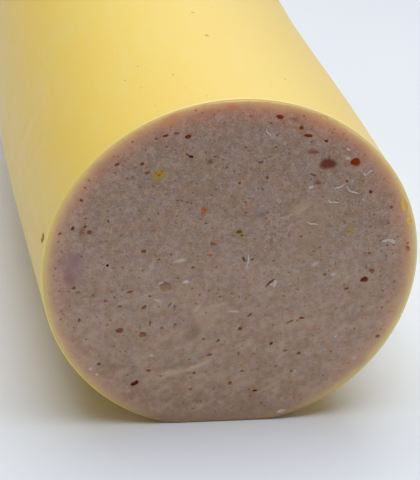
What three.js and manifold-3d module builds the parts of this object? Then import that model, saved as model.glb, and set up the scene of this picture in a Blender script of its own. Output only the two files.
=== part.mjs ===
// A garlic sausage in a smooth yellow casing. One end is cut square and shows the meat. The other end
// is gathered into pleats, closed with a wire clip and left with a short tail of casing.
// Millimetres, +Z up. The sausage lies along Y on its underside, with the cut face towards -Y.

import * as THREE from 'three';
import { LoftGeometry } from 'three/addons/geometries/LoftGeometry.js';
import { mergeVertices } from 'three/addons/utils/BufferGeometryUtils.js';
import Module from 'manifold-3d';

// The body is of 60 mm calibre at the cut, fuller behind it, and bowed to one side.
const CUT_RADIUS = 30;
const BELLY = 0.6;
const BELLY_REACH = 42;
const BOW = 4.0;
const UNEVENNESS = 0.2;
// Its weight presses the underside flat by this much.
const SAG = 1.3;

// The closed end rounds off as a superellipse and is drawn into pleats towards the neck.
const SHOULDER_START = 100;
const BODY_LENGTH = 172;
const SHOULDER_POWER = 2.2;
const PLEATS = 14;
const PLEAT_START = 132;
const PLEAT_DEPTH = 1.4;

// The neck that the clip grips, and the tail of casing behind it.
const NECK_RADIUS = 3.6;
const NECK_LENGTH = 6.4;
const TAIL_RADIUS = 9.5;
const TAIL_LENGTH = 11;
const TAIL_PLEAT_SHARE = 0.42;

// The clip is a piece of aluminium wire bent round the neck until its ends pass each other.
const WIRE_RADIUS = 1.1;
const CLIP_TURN = THREE.MathUtils.degToRad(400);
const CLIP_START = THREE.MathUtils.degToRad(70);
const CLIP_PITCH = 2.4;

// The casing's wall, and the gap that parts it from the meat and from the clip.
const WALL = 0.5;
const GAP = 0.3;
// The cavity ends where the outside has drawn in to this radius.
const CAVITY_END_RADIUS = 9;

// Facets: points round each ring, and rings along the body, the shoulder, the cavity and the tail.
const AROUND = 4 * PLEATS;
const BODY_RINGS = 9;
const SHOULDER_RINGS = 15;
const CAVITY_RINGS = 12;
const TAIL_RINGS = 4;
const CLIP_STEPS = 40;
const CLIP_SECTION_SEGMENTS = 5;

// The larger air pores of the cut face: across and up from its centre, then half width and height.
const LARGE_PORES = [
  [17.9, 19.3, 0.72, 0.8],
  [5.4, 26.8, 0.55, 0.42],
  [8.9, 25.0, 0.38, 0.36],
  [10.1, 23.8, 0.65, 0.36],
  [21.8, -1.8, 0.6, 0.6],
  [-17.6, -10.2, 0.64, 0.56],
  [-13.8, -11.1, 0.56, 0.58],
  [-10.8, -2.2, 0.95, 0.7],
  [-8.5, 23.7, 0.52, 0.38],
  [0.5, 7.4, 0.46, 0.36],
  [-14.3, 4.3, 0.38, 0.36],
  [-22.9, 7.8, 0.36, 0.42],
  [-13.8, -5.9, 0.45, 0.4],
  [25.2, -12.6, 0.42, 0.42],
  [5.4, -22.5, 0.4, 0.38],
  [1.1, -21.0, 0.42, 0.38],
];
// Smaller pores are scattered between them.
const SMALL_PORES = 24;
const SMALL_PORE_RADII = [0.28, 0.42];
const PORE_FIELD_RADIUS = 26.5;
const PORE_SPACING = 3.2;
const PORE_DEPTH_SHARE = 1.1;
const PORE_SEED = 60;

// Points closer than this are one point of a solid.
const MERGE_DISTANCE = 1e-4;

const FULL_RADIUS = CUT_RADIUS + BELLY;
// A superellipse is a circle's cosine and sine raised to this power.
const SHOULDER_EXPONENT = 2 / SHOULDER_POWER;

// Sideways place of the body's centre line at a distance from the cut.
function centreX(along) {
  const share = Math.min(along / BODY_LENGTH, 1);
  return -BOW * Math.sin(Math.PI * share);
}

// Radius of the body between the cut and the shoulder.
function barrelRadius(along) {
  const share = Math.min(along / BELLY_REACH, 1);
  return CUT_RADIUS + BELLY * Math.sin((share * Math.PI) / 2);
}

// Height of the centre line, so that the underside would reach SAG below the surface it lies on.
function centreHeight(along) {
  return barrelRadius(along) - SAG;
}

// Depth of the pleats at a distance from the cut.
function pleatDepth(along) {
  const share = THREE.MathUtils.smoothstep(along, PLEAT_START, BODY_LENGTH);
  return PLEAT_DEPTH * share;
}

// Slight lobes, which die out at the cut.
function lobe(angle, along) {
  const wave = Math.sin(3 * angle + along / 17) + 0.6 * Math.sin(5 * angle - along / 23);
  const share = Math.min(along / BELLY_REACH, 1);
  return UNEVENNESS * wave * share;
}

// Angle on the shoulder's superellipse at which the outside has a given radius.
function shoulderAngle(radius) {
  return Math.acos(Math.pow(radius / FULL_RADIUS, 1 / SHOULDER_EXPONENT));
}

// A ring of the body. It lies `inset` inside the outer surface, and nothing dips below the flat underside.
function ring(along, radius, pleat, inset) {
  const points = [];
  for (let i = 0; i < AROUND; i += 1) {
    const angle = (i / AROUND) * 2 * Math.PI;
    const crease = 1 - Math.abs(Math.sin((angle * PLEATS) / 2));
    const shrink = radius / FULL_RADIUS;
    const reach = radius - pleat * crease + shrink * lobe(angle, along);
    const x = centreX(along) + reach * Math.cos(angle);
    const z = centreHeight(along) + reach * Math.sin(angle);
    points.push(new THREE.Vector3(x, along, Math.max(z, inset)));
  }
  return points;
}

// Rings from the cut to the start of the shoulder.
function barrelRings(inset) {
  const rings = [];
  for (let i = 0; i < BODY_RINGS; i += 1) {
    const along = (i / (BODY_RINGS - 1)) * SHOULDER_START;
    rings.push(ring(along, barrelRadius(along) - inset, 0, inset));
  }
  return rings;
}

// Rings over the shoulder to where the outside has drawn in to endRadius, each moved in square to the
// surface by the inset.
function shoulderRings(endRadius, count, inset) {
  const rings = [];
  const reach = BODY_LENGTH - SHOULDER_START;
  for (let i = 1; i <= count; i += 1) {
    const angle = (i / count) * shoulderAngle(endRadius);
    const cosine = Math.cos(angle);
    const sine = Math.sin(angle);
    const along = SHOULDER_START + reach * Math.pow(sine, SHOULDER_EXPONENT);
    const radius = FULL_RADIUS * Math.pow(cosine, SHOULDER_EXPONENT);
    const normal = new THREE.Vector2(
      FULL_RADIUS * Math.pow(cosine, SHOULDER_EXPONENT - 1) * sine,
      reach * Math.pow(sine, SHOULDER_EXPONENT - 1) * cosine,
    ).normalize();
    rings.push(ring(along - inset * normal.x, radius - inset * normal.y, pleatDepth(along), inset));
  }
  return rings;
}

// Rings of the neck's far end and of the tail, which flares and creases more deeply.
function tailRings() {
  const rings = [];
  const neckEnd = BODY_LENGTH + NECK_LENGTH;
  for (let i = 0; i <= TAIL_RINGS; i += 1) {
    const share = i / TAIL_RINGS;
    const radius = THREE.MathUtils.lerp(NECK_RADIUS, TAIL_RADIUS, Math.pow(share, 0.8));
    const pleat = THREE.MathUtils.lerp(PLEAT_DEPTH, TAIL_PLEAT_SHARE * radius, share);
    rings.push(ring(neckEnd + share * TAIL_LENGTH, radius, pleat, 0));
  }
  return rings;
}

// Everything inside the casing's outer surface, with the neck and the tail.
function outsideGeometry() {
  const rings = [...barrelRings(0), ...shoulderRings(NECK_RADIUS, SHOULDER_RINGS, 0), ...tailRings()];
  return new LoftGeometry(rings.reverse(), { capStart: true, capEnd: true });
}

// The inside of the body at an inset, closed at the cut face and where the shoulder has drawn in.
function insideRings(inset) {
  return [...barrelRings(inset), ...shoulderRings(CAVITY_END_RADIUS, CAVITY_RINGS, inset)];
}

// The hollow of the casing. It runs on past the cut, so that taking it away opens that end.
function cavityGeometry() {
  const rings = insideRings(WALL);
  const mouth = rings[0].map((point) => point.clone().setY(-WALL));
  return new LoftGeometry([mouth, ...rings].reverse(), { capStart: true, capEnd: true });
}

// The meat before its pores are cut: it fills the hollow but for the gap.
function plainMeatGeometry() {
  return new LoftGeometry(insideRings(WALL + GAP).reverse(), { capStart: true, capEnd: true });
}

// A repeatable source of numbers from 0 to 1.
function makeRandom(seed) {
  let state = seed;
  return () => {
    state = (state * 1664525 + 1013904223) % 4294967296;
    return state / 4294967296;
  };
}

// Places and sizes of all pores: the larger ones, then small ones wherever there is room.
function listPores() {
  const random = makeRandom(PORE_SEED);
  const pores = [...LARGE_PORES];
  while (pores.length < LARGE_PORES.length + SMALL_PORES) {
    const angle = random() * 2 * Math.PI;
    const distance = PORE_FIELD_RADIUS * Math.sqrt(random());
    const x = distance * Math.cos(angle);
    const z = distance * Math.sin(angle);
    const halfWidth = THREE.MathUtils.lerp(...SMALL_PORE_RADII, random());
    const halfHeight = halfWidth * (0.7 + 0.3 * random());
    if (pores.every((pore) => Math.hypot(pore[0] - x, pore[1] - z) > PORE_SPACING)) {
      pores.push([x, z, halfWidth, halfHeight]);
    }
  }
  return pores;
}

// One pore as a small egg whose middle lies just below the cut face.
function poreGeometry([x, z, halfWidth, halfHeight]) {
  const depth = (PORE_DEPTH_SHARE * (halfWidth + halfHeight)) / 2;
  const geometry = new THREE.SphereGeometry(1, 10, 6);
  geometry.rotateY(x + z);
  geometry.scale(halfWidth, depth, halfHeight);
  geometry.translate(x, 0.2 * depth, centreHeight(0) + z);
  return geometry;
}

const wasm = await Module();
wasm.setup();

function toSolid(geometry) {
  const bare = new THREE.BufferGeometry();
  bare.setAttribute('position', geometry.getAttribute('position'));
  bare.setIndex(geometry.getIndex());
  const merged = mergeVertices(bare, MERGE_DISTANCE);
  const vertProperties = new Float32Array(merged.getAttribute('position').array);
  const triVerts = new Uint32Array(merged.getIndex().array);
  return new wasm.Manifold(new wasm.Mesh({ numProp: 3, vertProperties, triVerts }));
}

function toGeometry(solid) {
  const mesh = solid.getMesh();
  const geometry = new THREE.BufferGeometry();
  geometry.setAttribute('position', new THREE.BufferAttribute(mesh.vertProperties, 3));
  geometry.setIndex(new THREE.BufferAttribute(mesh.triVerts, 1));
  geometry.computeVertexNormals();
  return geometry;
}

function casingGeometry() {
  return toGeometry(toSolid(outsideGeometry()).subtract(toSolid(cavityGeometry())));
}

function meatGeometry() {
  let meat = toSolid(plainMeatGeometry());
  for (const pore of listPores()) {
    meat = meat.subtract(toSolid(poreGeometry(pore)));
  }
  return toGeometry(meat);
}

// The line that the clip's wire follows: a little more than one turn round the neck.
class ClipLine extends THREE.Curve {
  getPoint(share, target = new THREE.Vector3()) {
    const radius = NECK_RADIUS + GAP + WIRE_RADIUS;
    const angle = CLIP_START + share * CLIP_TURN;
    const middle = BODY_LENGTH + NECK_LENGTH / 2;
    const rise = ((share - 0.5) * CLIP_TURN * CLIP_PITCH) / (2 * Math.PI);
    return target.set(
      centreX(BODY_LENGTH) + radius * Math.cos(angle),
      middle + rise,
      centreHeight(BODY_LENGTH) + radius * Math.sin(angle),
    );
  }
}

function clipGeometry() {
  const section = new THREE.Shape();
  section.absarc(0, 0, WIRE_RADIUS, 0, 2 * Math.PI);
  return new THREE.ExtrudeGeometry(section, {
    steps: CLIP_STEPS,
    curveSegments: CLIP_SECTION_SEGMENTS,
    extrudePath: new ClipLine(),
    bevelEnabled: false,
  });
}

function makeMesh(name, geometry, color, roughness, metalness) {
  const material = new THREE.MeshStandardMaterial({ color, roughness, metalness });
  const mesh = new THREE.Mesh(geometry, material);
  mesh.name = name;
  return mesh;
}

const sausage = new THREE.Group();
sausage.add(makeMesh('casing', casingGeometry(), 0xe6cb6e, 0.4, 0));
sausage.add(makeMesh('meat', meatGeometry(), 0x86756a, 0.55, 0));
sausage.add(makeMesh('clip', clipGeometry(), 0xbfc1c4, 0.35, 1));

// The origin is the middle of the footprint, on the surface that the sausage lies on.
const box = new THREE.Box3().setFromObject(sausage);
const middle = box.getCenter(new THREE.Vector3());
sausage.position.set(-middle.x, -middle.y, -box.min.z);

export default sausage;
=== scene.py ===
"""Looks of a garlic sausage: a smooth yellow casing, cut square to show the meat, closed with a wire clip."""

import logging
import math
from dataclasses import dataclass
from enum import Enum
from functools import cached_property

import bpy
import numpy as np
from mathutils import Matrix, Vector, geometry


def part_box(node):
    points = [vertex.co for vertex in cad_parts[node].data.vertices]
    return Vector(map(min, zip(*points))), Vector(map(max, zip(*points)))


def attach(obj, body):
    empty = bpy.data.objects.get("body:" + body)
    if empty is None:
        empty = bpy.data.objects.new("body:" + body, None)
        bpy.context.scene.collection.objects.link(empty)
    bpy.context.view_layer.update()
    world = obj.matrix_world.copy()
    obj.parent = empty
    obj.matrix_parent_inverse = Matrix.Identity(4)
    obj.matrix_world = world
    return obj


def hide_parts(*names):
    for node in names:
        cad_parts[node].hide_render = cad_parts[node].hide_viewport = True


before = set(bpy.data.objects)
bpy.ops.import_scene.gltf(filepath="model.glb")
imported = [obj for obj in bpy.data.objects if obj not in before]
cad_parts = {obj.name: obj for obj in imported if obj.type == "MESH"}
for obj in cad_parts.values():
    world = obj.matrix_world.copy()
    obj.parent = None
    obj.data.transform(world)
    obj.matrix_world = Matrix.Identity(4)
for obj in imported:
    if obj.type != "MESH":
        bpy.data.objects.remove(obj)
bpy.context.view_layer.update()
LOG = logging.getLogger("sausage")

MM = 0.001
BODY = "root"
TAU = 2 * math.pi

Array = np.ndarray
Point = tuple[float, float]
Triple = tuple[float, float, float]
Colour = Triple
Wave = Triple

# How much red, green and blue light reaches the cut face and the top of the casing
FACE_LIGHT: Colour = (0.565, 0.56, 0.585)
TOP_LIGHT: Colour = (1.0, 1.0, 1.0)


def linear(colour: Colour) -> Colour:
    """Turns a screen colour of 0 to 255 into the linear values that shaders take.

    Args:
        colour: Red, green and blue as seen on a screen.

    Returns:
        The same colour in linear light, 0 to 1.
    """
    shares = [part / 255 for part in colour]
    return tuple(s / 12.92 if s <= 0.04045 else ((s + 0.055) / 1.055) ** 2.4 for s in shares)


def lit(colour: Colour, light: Colour) -> Colour:
    """Works out a surface's own colour from how it looks under a given light.

    Args:
        colour: Red, green and blue as seen, 0 to 255.
        light: How much red, green and blue light reaches the surface, 1 for full.

    Returns:
        The surface's own colour in linear light.
    """
    return tuple(min(part / share, 1.0) for part, share in zip(linear(colour), light))


@dataclass(frozen=True)
class Ripple:
    """An even, lumpy field made of many plane waves in all directions, in millimetres."""

    height: float
    shortest: float
    longest: float
    waves: int
    seed: int

    def at(self, points: Array) -> Array:
        """Height of the field at some places.

        Args:
            points: Places, one row each.

        Returns:
            One value for each place, mostly within the height up and down.
        """
        random = np.random.default_rng(self.seed)
        total = np.zeros(len(points))
        for _ in range(self.waves):
            direction = random.normal(size=points.shape[1])
            direction /= np.linalg.norm(direction)
            length = random.uniform(self.shortest, self.longest)
            total += np.sin(points @ direction * TAU / length + random.uniform(0, TAU))
        return self.height * total / math.sqrt(self.waves)


def smooth_step(value: Array, low: float, high: float) -> Array:
    """Rises smoothly from 0 at low to 1 at high.

    Args:
        value: Values to turn.
        low: Where the rise starts.
        high: Where it ends. It may be under low for a fall.

    Returns:
        Values from 0 to 1.
    """
    share = np.clip((value - low) / (high - low), 0, 1)
    return share * share * (3 - 2 * share)


def hill(value: Array, middle: float, reach: float) -> Array:
    """A smooth hill: 1 in its middle, and next to nothing at twice its reach."""
    return np.exp(-(((value - middle) / reach) ** 2))


def turns(count: int) -> Array:
    """Even angles round one turn, in radians."""
    return np.arange(count) / count * TAU


def waves(angle: Array, terms: tuple[Wave, ...], base: Array | float = 0.0) -> Array:
    """Adds waves round a turn to a base.

    Args:
        angle: Angles in radians.
        terms: Height, number in a turn and phase of each wave.
        base: What the waves are added to.

    Returns:
        One value for each angle.
    """
    return sum((height * np.sin(number * angle + phase) for height, number, phase in terms), base)


class Signal:
    """A number in a shader that takes Python's arithmetic."""

    def __init__(self, recipe: "Recipe", socket: bpy.types.NodeSocket) -> None:
        """Wraps one output socket.

        Args:
            recipe: The recipe whose tree holds the socket.
            socket: The output socket.
        """
        self.recipe = recipe
        self.socket = socket

    def maths(self, operation: str, *values: "Signal | float") -> "Signal":
        """Adds one Math node.

        Args:
            operation: Name of the node's operation.
            values: Its inputs in order.

        Returns:
            The node's result.
        """
        node = self.recipe.node("ShaderNodeMath", {"operation": operation}, dict(enumerate(values)))
        return Signal(self.recipe, node.outputs[0])

    def __add__(self, other: "Signal | float") -> "Signal":
        """Sum."""
        return self.maths("ADD", self, other)

    __radd__ = __add__

    def __sub__(self, other: "Signal | float") -> "Signal":
        """Difference."""
        return self.maths("SUBTRACT", self, other)

    def __rsub__(self, other: float) -> "Signal":
        """Difference from a plain number."""
        return self.maths("SUBTRACT", other, self)

    def __mul__(self, other: "Signal | float") -> "Signal":
        """Product."""
        return self.maths("MULTIPLY", self, other)

    __rmul__ = __mul__

    def __truediv__(self, other: "Signal | float") -> "Signal":
        """Quotient."""
        return self.maths("DIVIDE", self, other)

    def rise(self, low: float, high: float) -> "Signal":
        """Rises smoothly from 0 to 1 between two values.

        Args:
            low: Where the rise starts.
            high: Where it ends.

        Returns:
            The eased value.
        """
        settings = {"interpolation_type": "SMOOTHSTEP"}
        node = self.recipe.node("ShaderNodeMapRange", settings, {0: self, 1: low, 2: high})
        return Signal(self.recipe, node.outputs[0])

    def fall(self, low: float, high: float) -> "Signal":
        """Falls smoothly from 1 to 0 between two values."""
        return 1 - self.rise(low, high)


class Recipe:
    """The node tree of one finish."""

    MIX_FACTOR = 0
    MIX_COLOURS = (6, 7)
    MIX_RESULT = 2

    def __init__(self, name: str) -> None:
        """Starts an empty material.

        Args:
            name: Name of the material.
        """
        self.material = bpy.data.materials.new(name)
        self.material.use_nodes = True
        self.tree = self.material.node_tree
        self.tree.nodes.clear()
        self.place = self.node("ShaderNodeTexCoord").outputs["Object"]

    def node(self, kind: str, settings: dict | None = None, values: dict | None = None) -> bpy.types.Node:
        """Adds a node of any type.

        Args:
            kind: The node's type name.
            settings: Its properties and ramp stops, which are set first.
            values: Value, colour, socket or signal for each input, by name or number.

        Returns:
            The new node.
        """
        node = self.tree.nodes.new(kind)
        for name, value in (settings or {}).items():
            if name == "stops":
                self.set_stops(node.color_ramp, value)
            else:
                setattr(node, name, value)
        for name, value in (values or {}).items():
            value = value.socket if isinstance(value, Signal) else value
            if isinstance(value, bpy.types.NodeSocket):
                self.tree.links.new(value, node.inputs[name])
            elif isinstance(value, tuple):
                size = len(node.inputs[name].default_value)
                node.inputs[name].default_value = (*value, 1.0)[:size]
            else:
                node.inputs[name].default_value = value
        return node

    @staticmethod
    def set_stops(ramp: bpy.types.ColorRamp, stops: tuple[tuple[float, Colour], ...]) -> None:
        """Gives a ramp its stops.

        Args:
            ramp: The ramp.
            stops: Position from 0 to 1 and colour of each stop.
        """
        while len(ramp.elements) > 1:
            ramp.elements.remove(ramp.elements[0])
        ramp.elements[0].position = stops[0][0]
        ramp.elements[0].color = (*stops[0][1], 1.0)
        for position, colour in stops[1:]:
            ramp.elements.new(position).color = (*colour, 1.0)

    def noise(self, size: float, detail: float = 2.0, place: bpy.types.NodeSocket | None = None,
              harshness: float = 0.5, swirl: float = 0.0) -> Signal:
        """Cloudy noise.

        Args:
            size: Size of its lumps in millimetres.
            detail: How many finer layers it has.
            place: Coordinates, or the object's own if left out.
            harshness: How strong each finer layer is beside the one before.
            swirl: How far the lumps are bent into curls.

        Returns:
            Values about 0.3 to 0.7.
        """
        values = {"Vector": place or self.place, "Scale": 1 / (size * MM), "Detail": detail,
                  "Roughness": harshness, "Distortion": swirl}
        return Signal(self, self.node("ShaderNodeTexNoise", {}, values).outputs[0])

    def dots(self, size: float, reach: Point, chance: Point) -> Signal:
        """Scattered soft dots.

        Args:
            size: Distance between the places that may have a dot, in millimetres.
            reach: Shares of that distance at which a dot starts to fade and ends.
            chance: Random numbers from which a place starts to show its dot and shows it in full.

        Returns:
            1 in the dots and 0 between them.
        """
        values = {"Vector": self.place, "Scale": 1 / (size * MM), "Randomness": 1.0}
        cells = self.node("ShaderNodeTexVoronoi", {}, values)
        parts = self.node("ShaderNodeSeparateColor", {}, {0: cells.outputs["Color"]})
        distance = Signal(self, cells.outputs["Distance"])
        return distance.fall(*reach) * Signal(self, parts.outputs[0]).rise(*chance)

    def stretched(self, scale: Triple, turn: float = 0.0) -> bpy.types.NodeSocket:
        """The object's coordinates, first turned about Y and then multiplied.

        Args:
            scale: What each coordinate is multiplied by.
            turn: The turn in degrees.

        Returns:
            The socket of the new coordinates.
        """
        values = {"Vector": self.place, "Rotation": (0.0, math.radians(turn), 0.0)}
        turned = self.node("ShaderNodeMapping", {"vector_type": "POINT"}, values)
        values = {0: turned.outputs[0], 1: scale}
        return self.node("ShaderNodeVectorMath", {"operation": "MULTIPLY"}, values).outputs[0]

    def height(self) -> Signal:
        """Height above the floor in millimetres."""
        parts = self.node("ShaderNodeSeparateXYZ", {}, {0: self.place})
        return Signal(self, parts.outputs["Z"]) / MM

    def attribute(self, name: str) -> Signal:
        """A number that the mesh carries at each point."""
        return Signal(self, self.node("ShaderNodeAttribute", {"attribute_name": name}).outputs["Fac"])

    def paint(self, name: str) -> tuple[bpy.types.NodeSocket, Signal]:
        """A colour that the mesh carries at each point, and its strength."""
        node = self.node("ShaderNodeAttribute", {"attribute_name": name})
        return node.outputs["Color"], Signal(self, node.outputs["Alpha"])

    def mix(self, first: object, second: object, factor: Signal | float) -> bpy.types.NodeSocket:
        """Mixes two colours.

        Args:
            first: Colour or socket at factor 0.
            second: Colour or socket at factor 1.
            factor: How much of the second shows.

        Returns:
            The socket of the mixed colour.
        """
        values = {self.MIX_FACTOR: factor, self.MIX_COLOURS[0]: first, self.MIX_COLOURS[1]: second}
        return self.node("ShaderNodeMix", {"data_type": "RGBA"}, values).outputs[self.MIX_RESULT]

    def coat(self, colour: object, *coats: tuple[object, Signal]) -> bpy.types.NodeSocket:
        """Lays coats of colour over one another.

        Args:
            colour: Colour or socket of the ground.
            coats: Colour or socket of each coat, and how much of it shows.

        Returns:
            The socket of the colour on top.
        """
        for tone, share in coats:
            colour = self.mix(colour, tone, share)
        return colour

    def bump(self, height: Signal, distance: float, strength: float = 1.0) -> bpy.types.NodeSocket:
        """Fine relief.

        Args:
            height: Height from 0 to 1.
            distance: What 1 stands for, in millimetres.
            strength: Share of the effect.

        Returns:
            The socket of the bent normal.
        """
        values = {"Height": height, "Distance": distance * MM, "Strength": strength}
        return self.node("ShaderNodeBump", {}, values).outputs[0]

    def finish(self, values: dict) -> bpy.types.Material:
        """Closes the recipe with the shader.

        Args:
            values: Value, colour, socket or signal for each input of the shader.

        Returns:
            The material.
        """
        shader = self.node("ShaderNodeBsdfPrincipled", {}, values)
        self.node("ShaderNodeOutputMaterial", {}, {"Surface": shader.outputs[0]})
        return self.material


@dataclass(frozen=True)
class CasingFinish:
    """Opaque yellow film with a satin face, paler along the top where a sheen is painted."""

    body: Colour = (238, 208, 101)
    warm: Colour = (240, 206, 97)
    pale: Colour = (239, 214, 158)
    dust: Colour = (196, 164, 80)

    def build(self) -> bpy.types.Material:
        """Makes the material.

        Returns:
            The material.
        """
        recipe = Recipe("casing_film")
        body, warm, pale, dust = (lit(tone, TOP_LIGHT) for tone in (self.body, self.warm, self.pale, self.dust))
        tint, strength = recipe.paint("rim_tint")
        streaks = recipe.noise(2.2, 2.0, recipe.stretched((1.0, 0.16, 1.0)))
        colour = recipe.coat(
            body,
            (warm, recipe.noise(14.0, 3.0).rise(0.35, 0.65)),
            # painted sheen: the film is paler along the top, as under a broad highlight
            (pale, recipe.attribute("stretch") * 0.5),
            (pale, streaks.rise(0.45, 0.75) * 0.16),
            (dust, recipe.dots(1.5, (0.05, 0.12), (0.72, 0.76)) * 0.6),
            (pale, recipe.dots(1.1, (0.05, 0.08), (0.8, 0.84)) * 0.8),
            # the rim's tones, with painted shade towards the foot
            (tint, strength),
        )
        dimples = recipe.noise(5.0, 2.0, recipe.stretched((1.0, 0.35, 1.0)))
        return recipe.finish({
            "Base Color": colour,
            "Roughness": 0.34 + recipe.noise(3.0, 3.0) * 0.12,
            "Normal": recipe.bump(dimples + recipe.noise(0.5, 2.0) * 0.06, 0.16, 0.5),
            "IOR": 1.43,
            "Subsurface Weight": 0.12,
            "Subsurface Radius": (1.0, 0.75, 0.25),
            "Subsurface Scale": 0.0012,
        })


@dataclass(frozen=True)
class MeatFinish:
    """Fine cooked meat: a grey-brown ground, finely mottled, with a pink ring and a cream rim painted as light
    glowing through the film.
    """

    ground_reach: float = 58.0
    ring_reach: float = 8.0
    # Ground by height above the floor: darker at the foot, where shade is painted, and darker towards the top
    ground: tuple[tuple[float, Colour], ...] = (
        (0.0, (114, 93, 81)),
        (3.0, (123, 101, 87)),
        (8.0, (133, 111, 97)),
        (18.0, (137, 117, 106)),
        (30.0, (132, 113, 103)),
        (42.0, (116, 97, 87)),
        (55.0, (112, 92, 83)),
    )
    # Ring by distance from the rim: its cream edge is a painted glow of light through the film, its pink is the
    # meat's own
    ring: tuple[tuple[float, Colour], ...] = (
        (0.0, (190, 172, 118)),
        (0.3, (181, 160, 116)),
        (0.8, (167, 141, 112)),
        (1.5, (155, 128, 107)),
        (2.5, (147, 121, 106)),
        (4.0, (140, 119, 106)),
    )
    pink_ring: tuple[tuple[float, Colour], ...] = (
        (0.0, (202, 174, 116)),
        (0.3, (190, 153, 103)),
        (0.8, (180, 135, 97)),
        (1.5, (163, 115, 91)),
        (2.5, (148, 104, 88)),
        (4.0, (134, 103, 91)),
    )
    tan: Colour = (141, 112, 88)
    ash: Colour = (124, 114, 112)
    rosy: Colour = (142, 112, 106)
    straw: Colour = (132, 118, 94)
    shade: Colour = (113, 88, 70)
    glint: Colour = (151, 139, 134)
    rust: Colour = (114, 78, 54)
    ochre: Colour = (154, 108, 62)
    # painted highlight on the crests of the folds
    ridge_highlight: Colour = (152, 135, 120)

    @staticmethod
    def ramp(recipe: Recipe, value: Signal, reach: float, stops: tuple) -> bpy.types.NodeSocket:
        """Colours by a value in millimetres, each stop as seen in the face's light."""
        stops = tuple((at / reach, lit(tone, FACE_LIGHT)) for at, tone in stops)
        return recipe.node("ShaderNodeValToRGB", {"stops": stops}, {0: value / reach}).outputs[0]

    def build(self) -> bpy.types.Material:
        """Makes the material.

        Returns:
            The material.
        """
        recipe = Recipe("meat_emulsion")
        tan, ash, rosy, straw = (lit(tone, FACE_LIGHT) for tone in (self.tan, self.ash, self.rosy, self.straw))
        shade, glint, ridge_highlight = (lit(tone, FACE_LIGHT) for tone in (self.shade, self.glint, self.ridge_highlight))
        rust, ochre = (lit(tone, FACE_LIGHT) for tone in (self.rust, self.ochre))
        grain = recipe.noise(0.32, 3.0, None, 0.6)
        mottle = recipe.noise(1.1, 3.0, None, 0.6)
        broad = recipe.noise(4.5, 3.0)
        tint = recipe.noise(1.4, 5.0, None, 0.9)
        blush = recipe.noise(5.0, 3.0, None, 0.6)
        curls = recipe.noise(0.6, 2.0, None, 0.5, 1.8)
        folds = recipe.noise(1.7, 3.0, recipe.stretched((0.45, 1.0, 1.0), 30.0), 0.55)
        pits = recipe.dots(0.62, (0.1, 0.26), (0.62, 0.74))
        height = recipe.height()
        depth = recipe.attribute("rim_depth")
        torn = recipe.attribute("torn")
        inner = 0.2 + depth.rise(0.4, 3.0) * 0.8
        crisp = inner * (0.46 + height.rise(18.0, 36.0) * 0.62)
        folded = height.fall(16.0, 36.0) * inner
        wander = depth * (0.55 + recipe.noise(2.6, 3.0) * 0.9)
        plain = self.ramp(recipe, wander, self.ring_reach, self.ring)
        pink = self.ramp(recipe, wander, self.ring_reach, self.pink_ring)
        ring = recipe.mix(plain, pink, recipe.attribute("rim_pink"))
        stain, strength = recipe.paint("stain")
        colour = recipe.coat(
            self.ramp(recipe, height, self.ground_reach, self.ground),
            (tan, tint.rise(0.46, 0.66) * 0.85),
            (ash, tint.fall(0.34, 0.54) * 0.85),
            (rosy, blush.rise(0.46, 0.66) * 0.28),
            (straw, blush.fall(0.34, 0.54) * 0.22),
            # painted glow of light through the film along the rim, faint at the foot where the rim is shaded
            (ring, recipe.attribute("rim_glow") * wander.fall(2.5, 6.5)),
            (shade, grain.fall(0.3, 0.56) * crisp * 0.44),
            (glint, grain.rise(0.44, 0.7) * crisp * 0.44),
            (shade, mottle.fall(0.3, 0.56) * inner * 0.34),
            (glint, mottle.rise(0.44, 0.7) * inner * 0.34),
            (shade, broad.fall(0.3, 0.56) * inner * 0.12),
            (glint, broad.rise(0.44, 0.7) * inner * 0.12),
            (rust, pits * crisp * 0.6),
            (rust, recipe.dots(1.25, (0.06, 0.2), (0.5, 0.7)) * inner * 0.6),
            (ochre, recipe.dots(1.25, (0.06, 0.2), (0.86, 0.9)) * inner * 0.8),
            (glint, recipe.dots(0.8, (0.06, 0.2), (0.72, 0.84)) * inner * 0.7),
            # painted shade in the troughs and painted highlight on the crests of the curls and folds, which the
            # same noise also bumps
            (shade, curls.fall(0.4, 0.5) * torn * 0.45),
            (glint, curls.rise(0.52, 0.62) * torn * 0.6),
            (ridge_highlight, folds.rise(0.52, 0.66) * folded * 0.4),
            (shade, folds.fall(0.34, 0.46) * folded * 0.25),
            # stains and pores, with their painted shade and highlights
            (stain, strength * (0.86 + grain * 0.28)),
        )
        level = recipe.noise(0.55, 2.0, recipe.stretched((0.45, 1.0, 1.0)))
        slant = recipe.noise(0.8, 2.0, recipe.stretched((0.4, 1.0, 1.0), 35.0))
        relief = grain * 0.3 + mottle * 0.4 + level * 0.5 + slant * 0.5
        relief = relief + curls * torn * 1.2 + folds * folded * 1.2 - pits * 0.3
        return recipe.finish({
            "Base Color": colour,
            "Roughness": 0.46 + mottle * 0.16,
            "Normal": recipe.bump(relief, 0.1, 0.45),
            "IOR": 1.33,
            "Subsurface Weight": 0.1,
            "Subsurface Radius": (1.0, 0.4, 0.25),
            "Subsurface Scale": 0.0008,
        })


@dataclass(frozen=True)
class BitFinish:
    """A spice grain, fibre or scrap: one tone with a little unevenness."""

    name: str
    colour: Colour
    second: Colour
    light: Colour = FACE_LIGHT
    roughness: float = 0.5
    gloss: float = 1.25

    def build(self) -> bpy.types.Material:
        """Makes the material.

        Returns:
            The material.
        """
        recipe = Recipe(self.name)
        cloud = recipe.noise(0.35, 2.0)
        colour = recipe.mix(lit(self.colour, self.light), lit(self.second, self.light), cloud.rise(0.38, 0.62))
        return recipe.finish({
            "Base Color": colour,
            "Roughness": self.roughness - 0.1 + cloud * 0.2,
            "Normal": recipe.bump(cloud, 0.04, 0.6),
            "IOR": self.gloss,
        })


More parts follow.
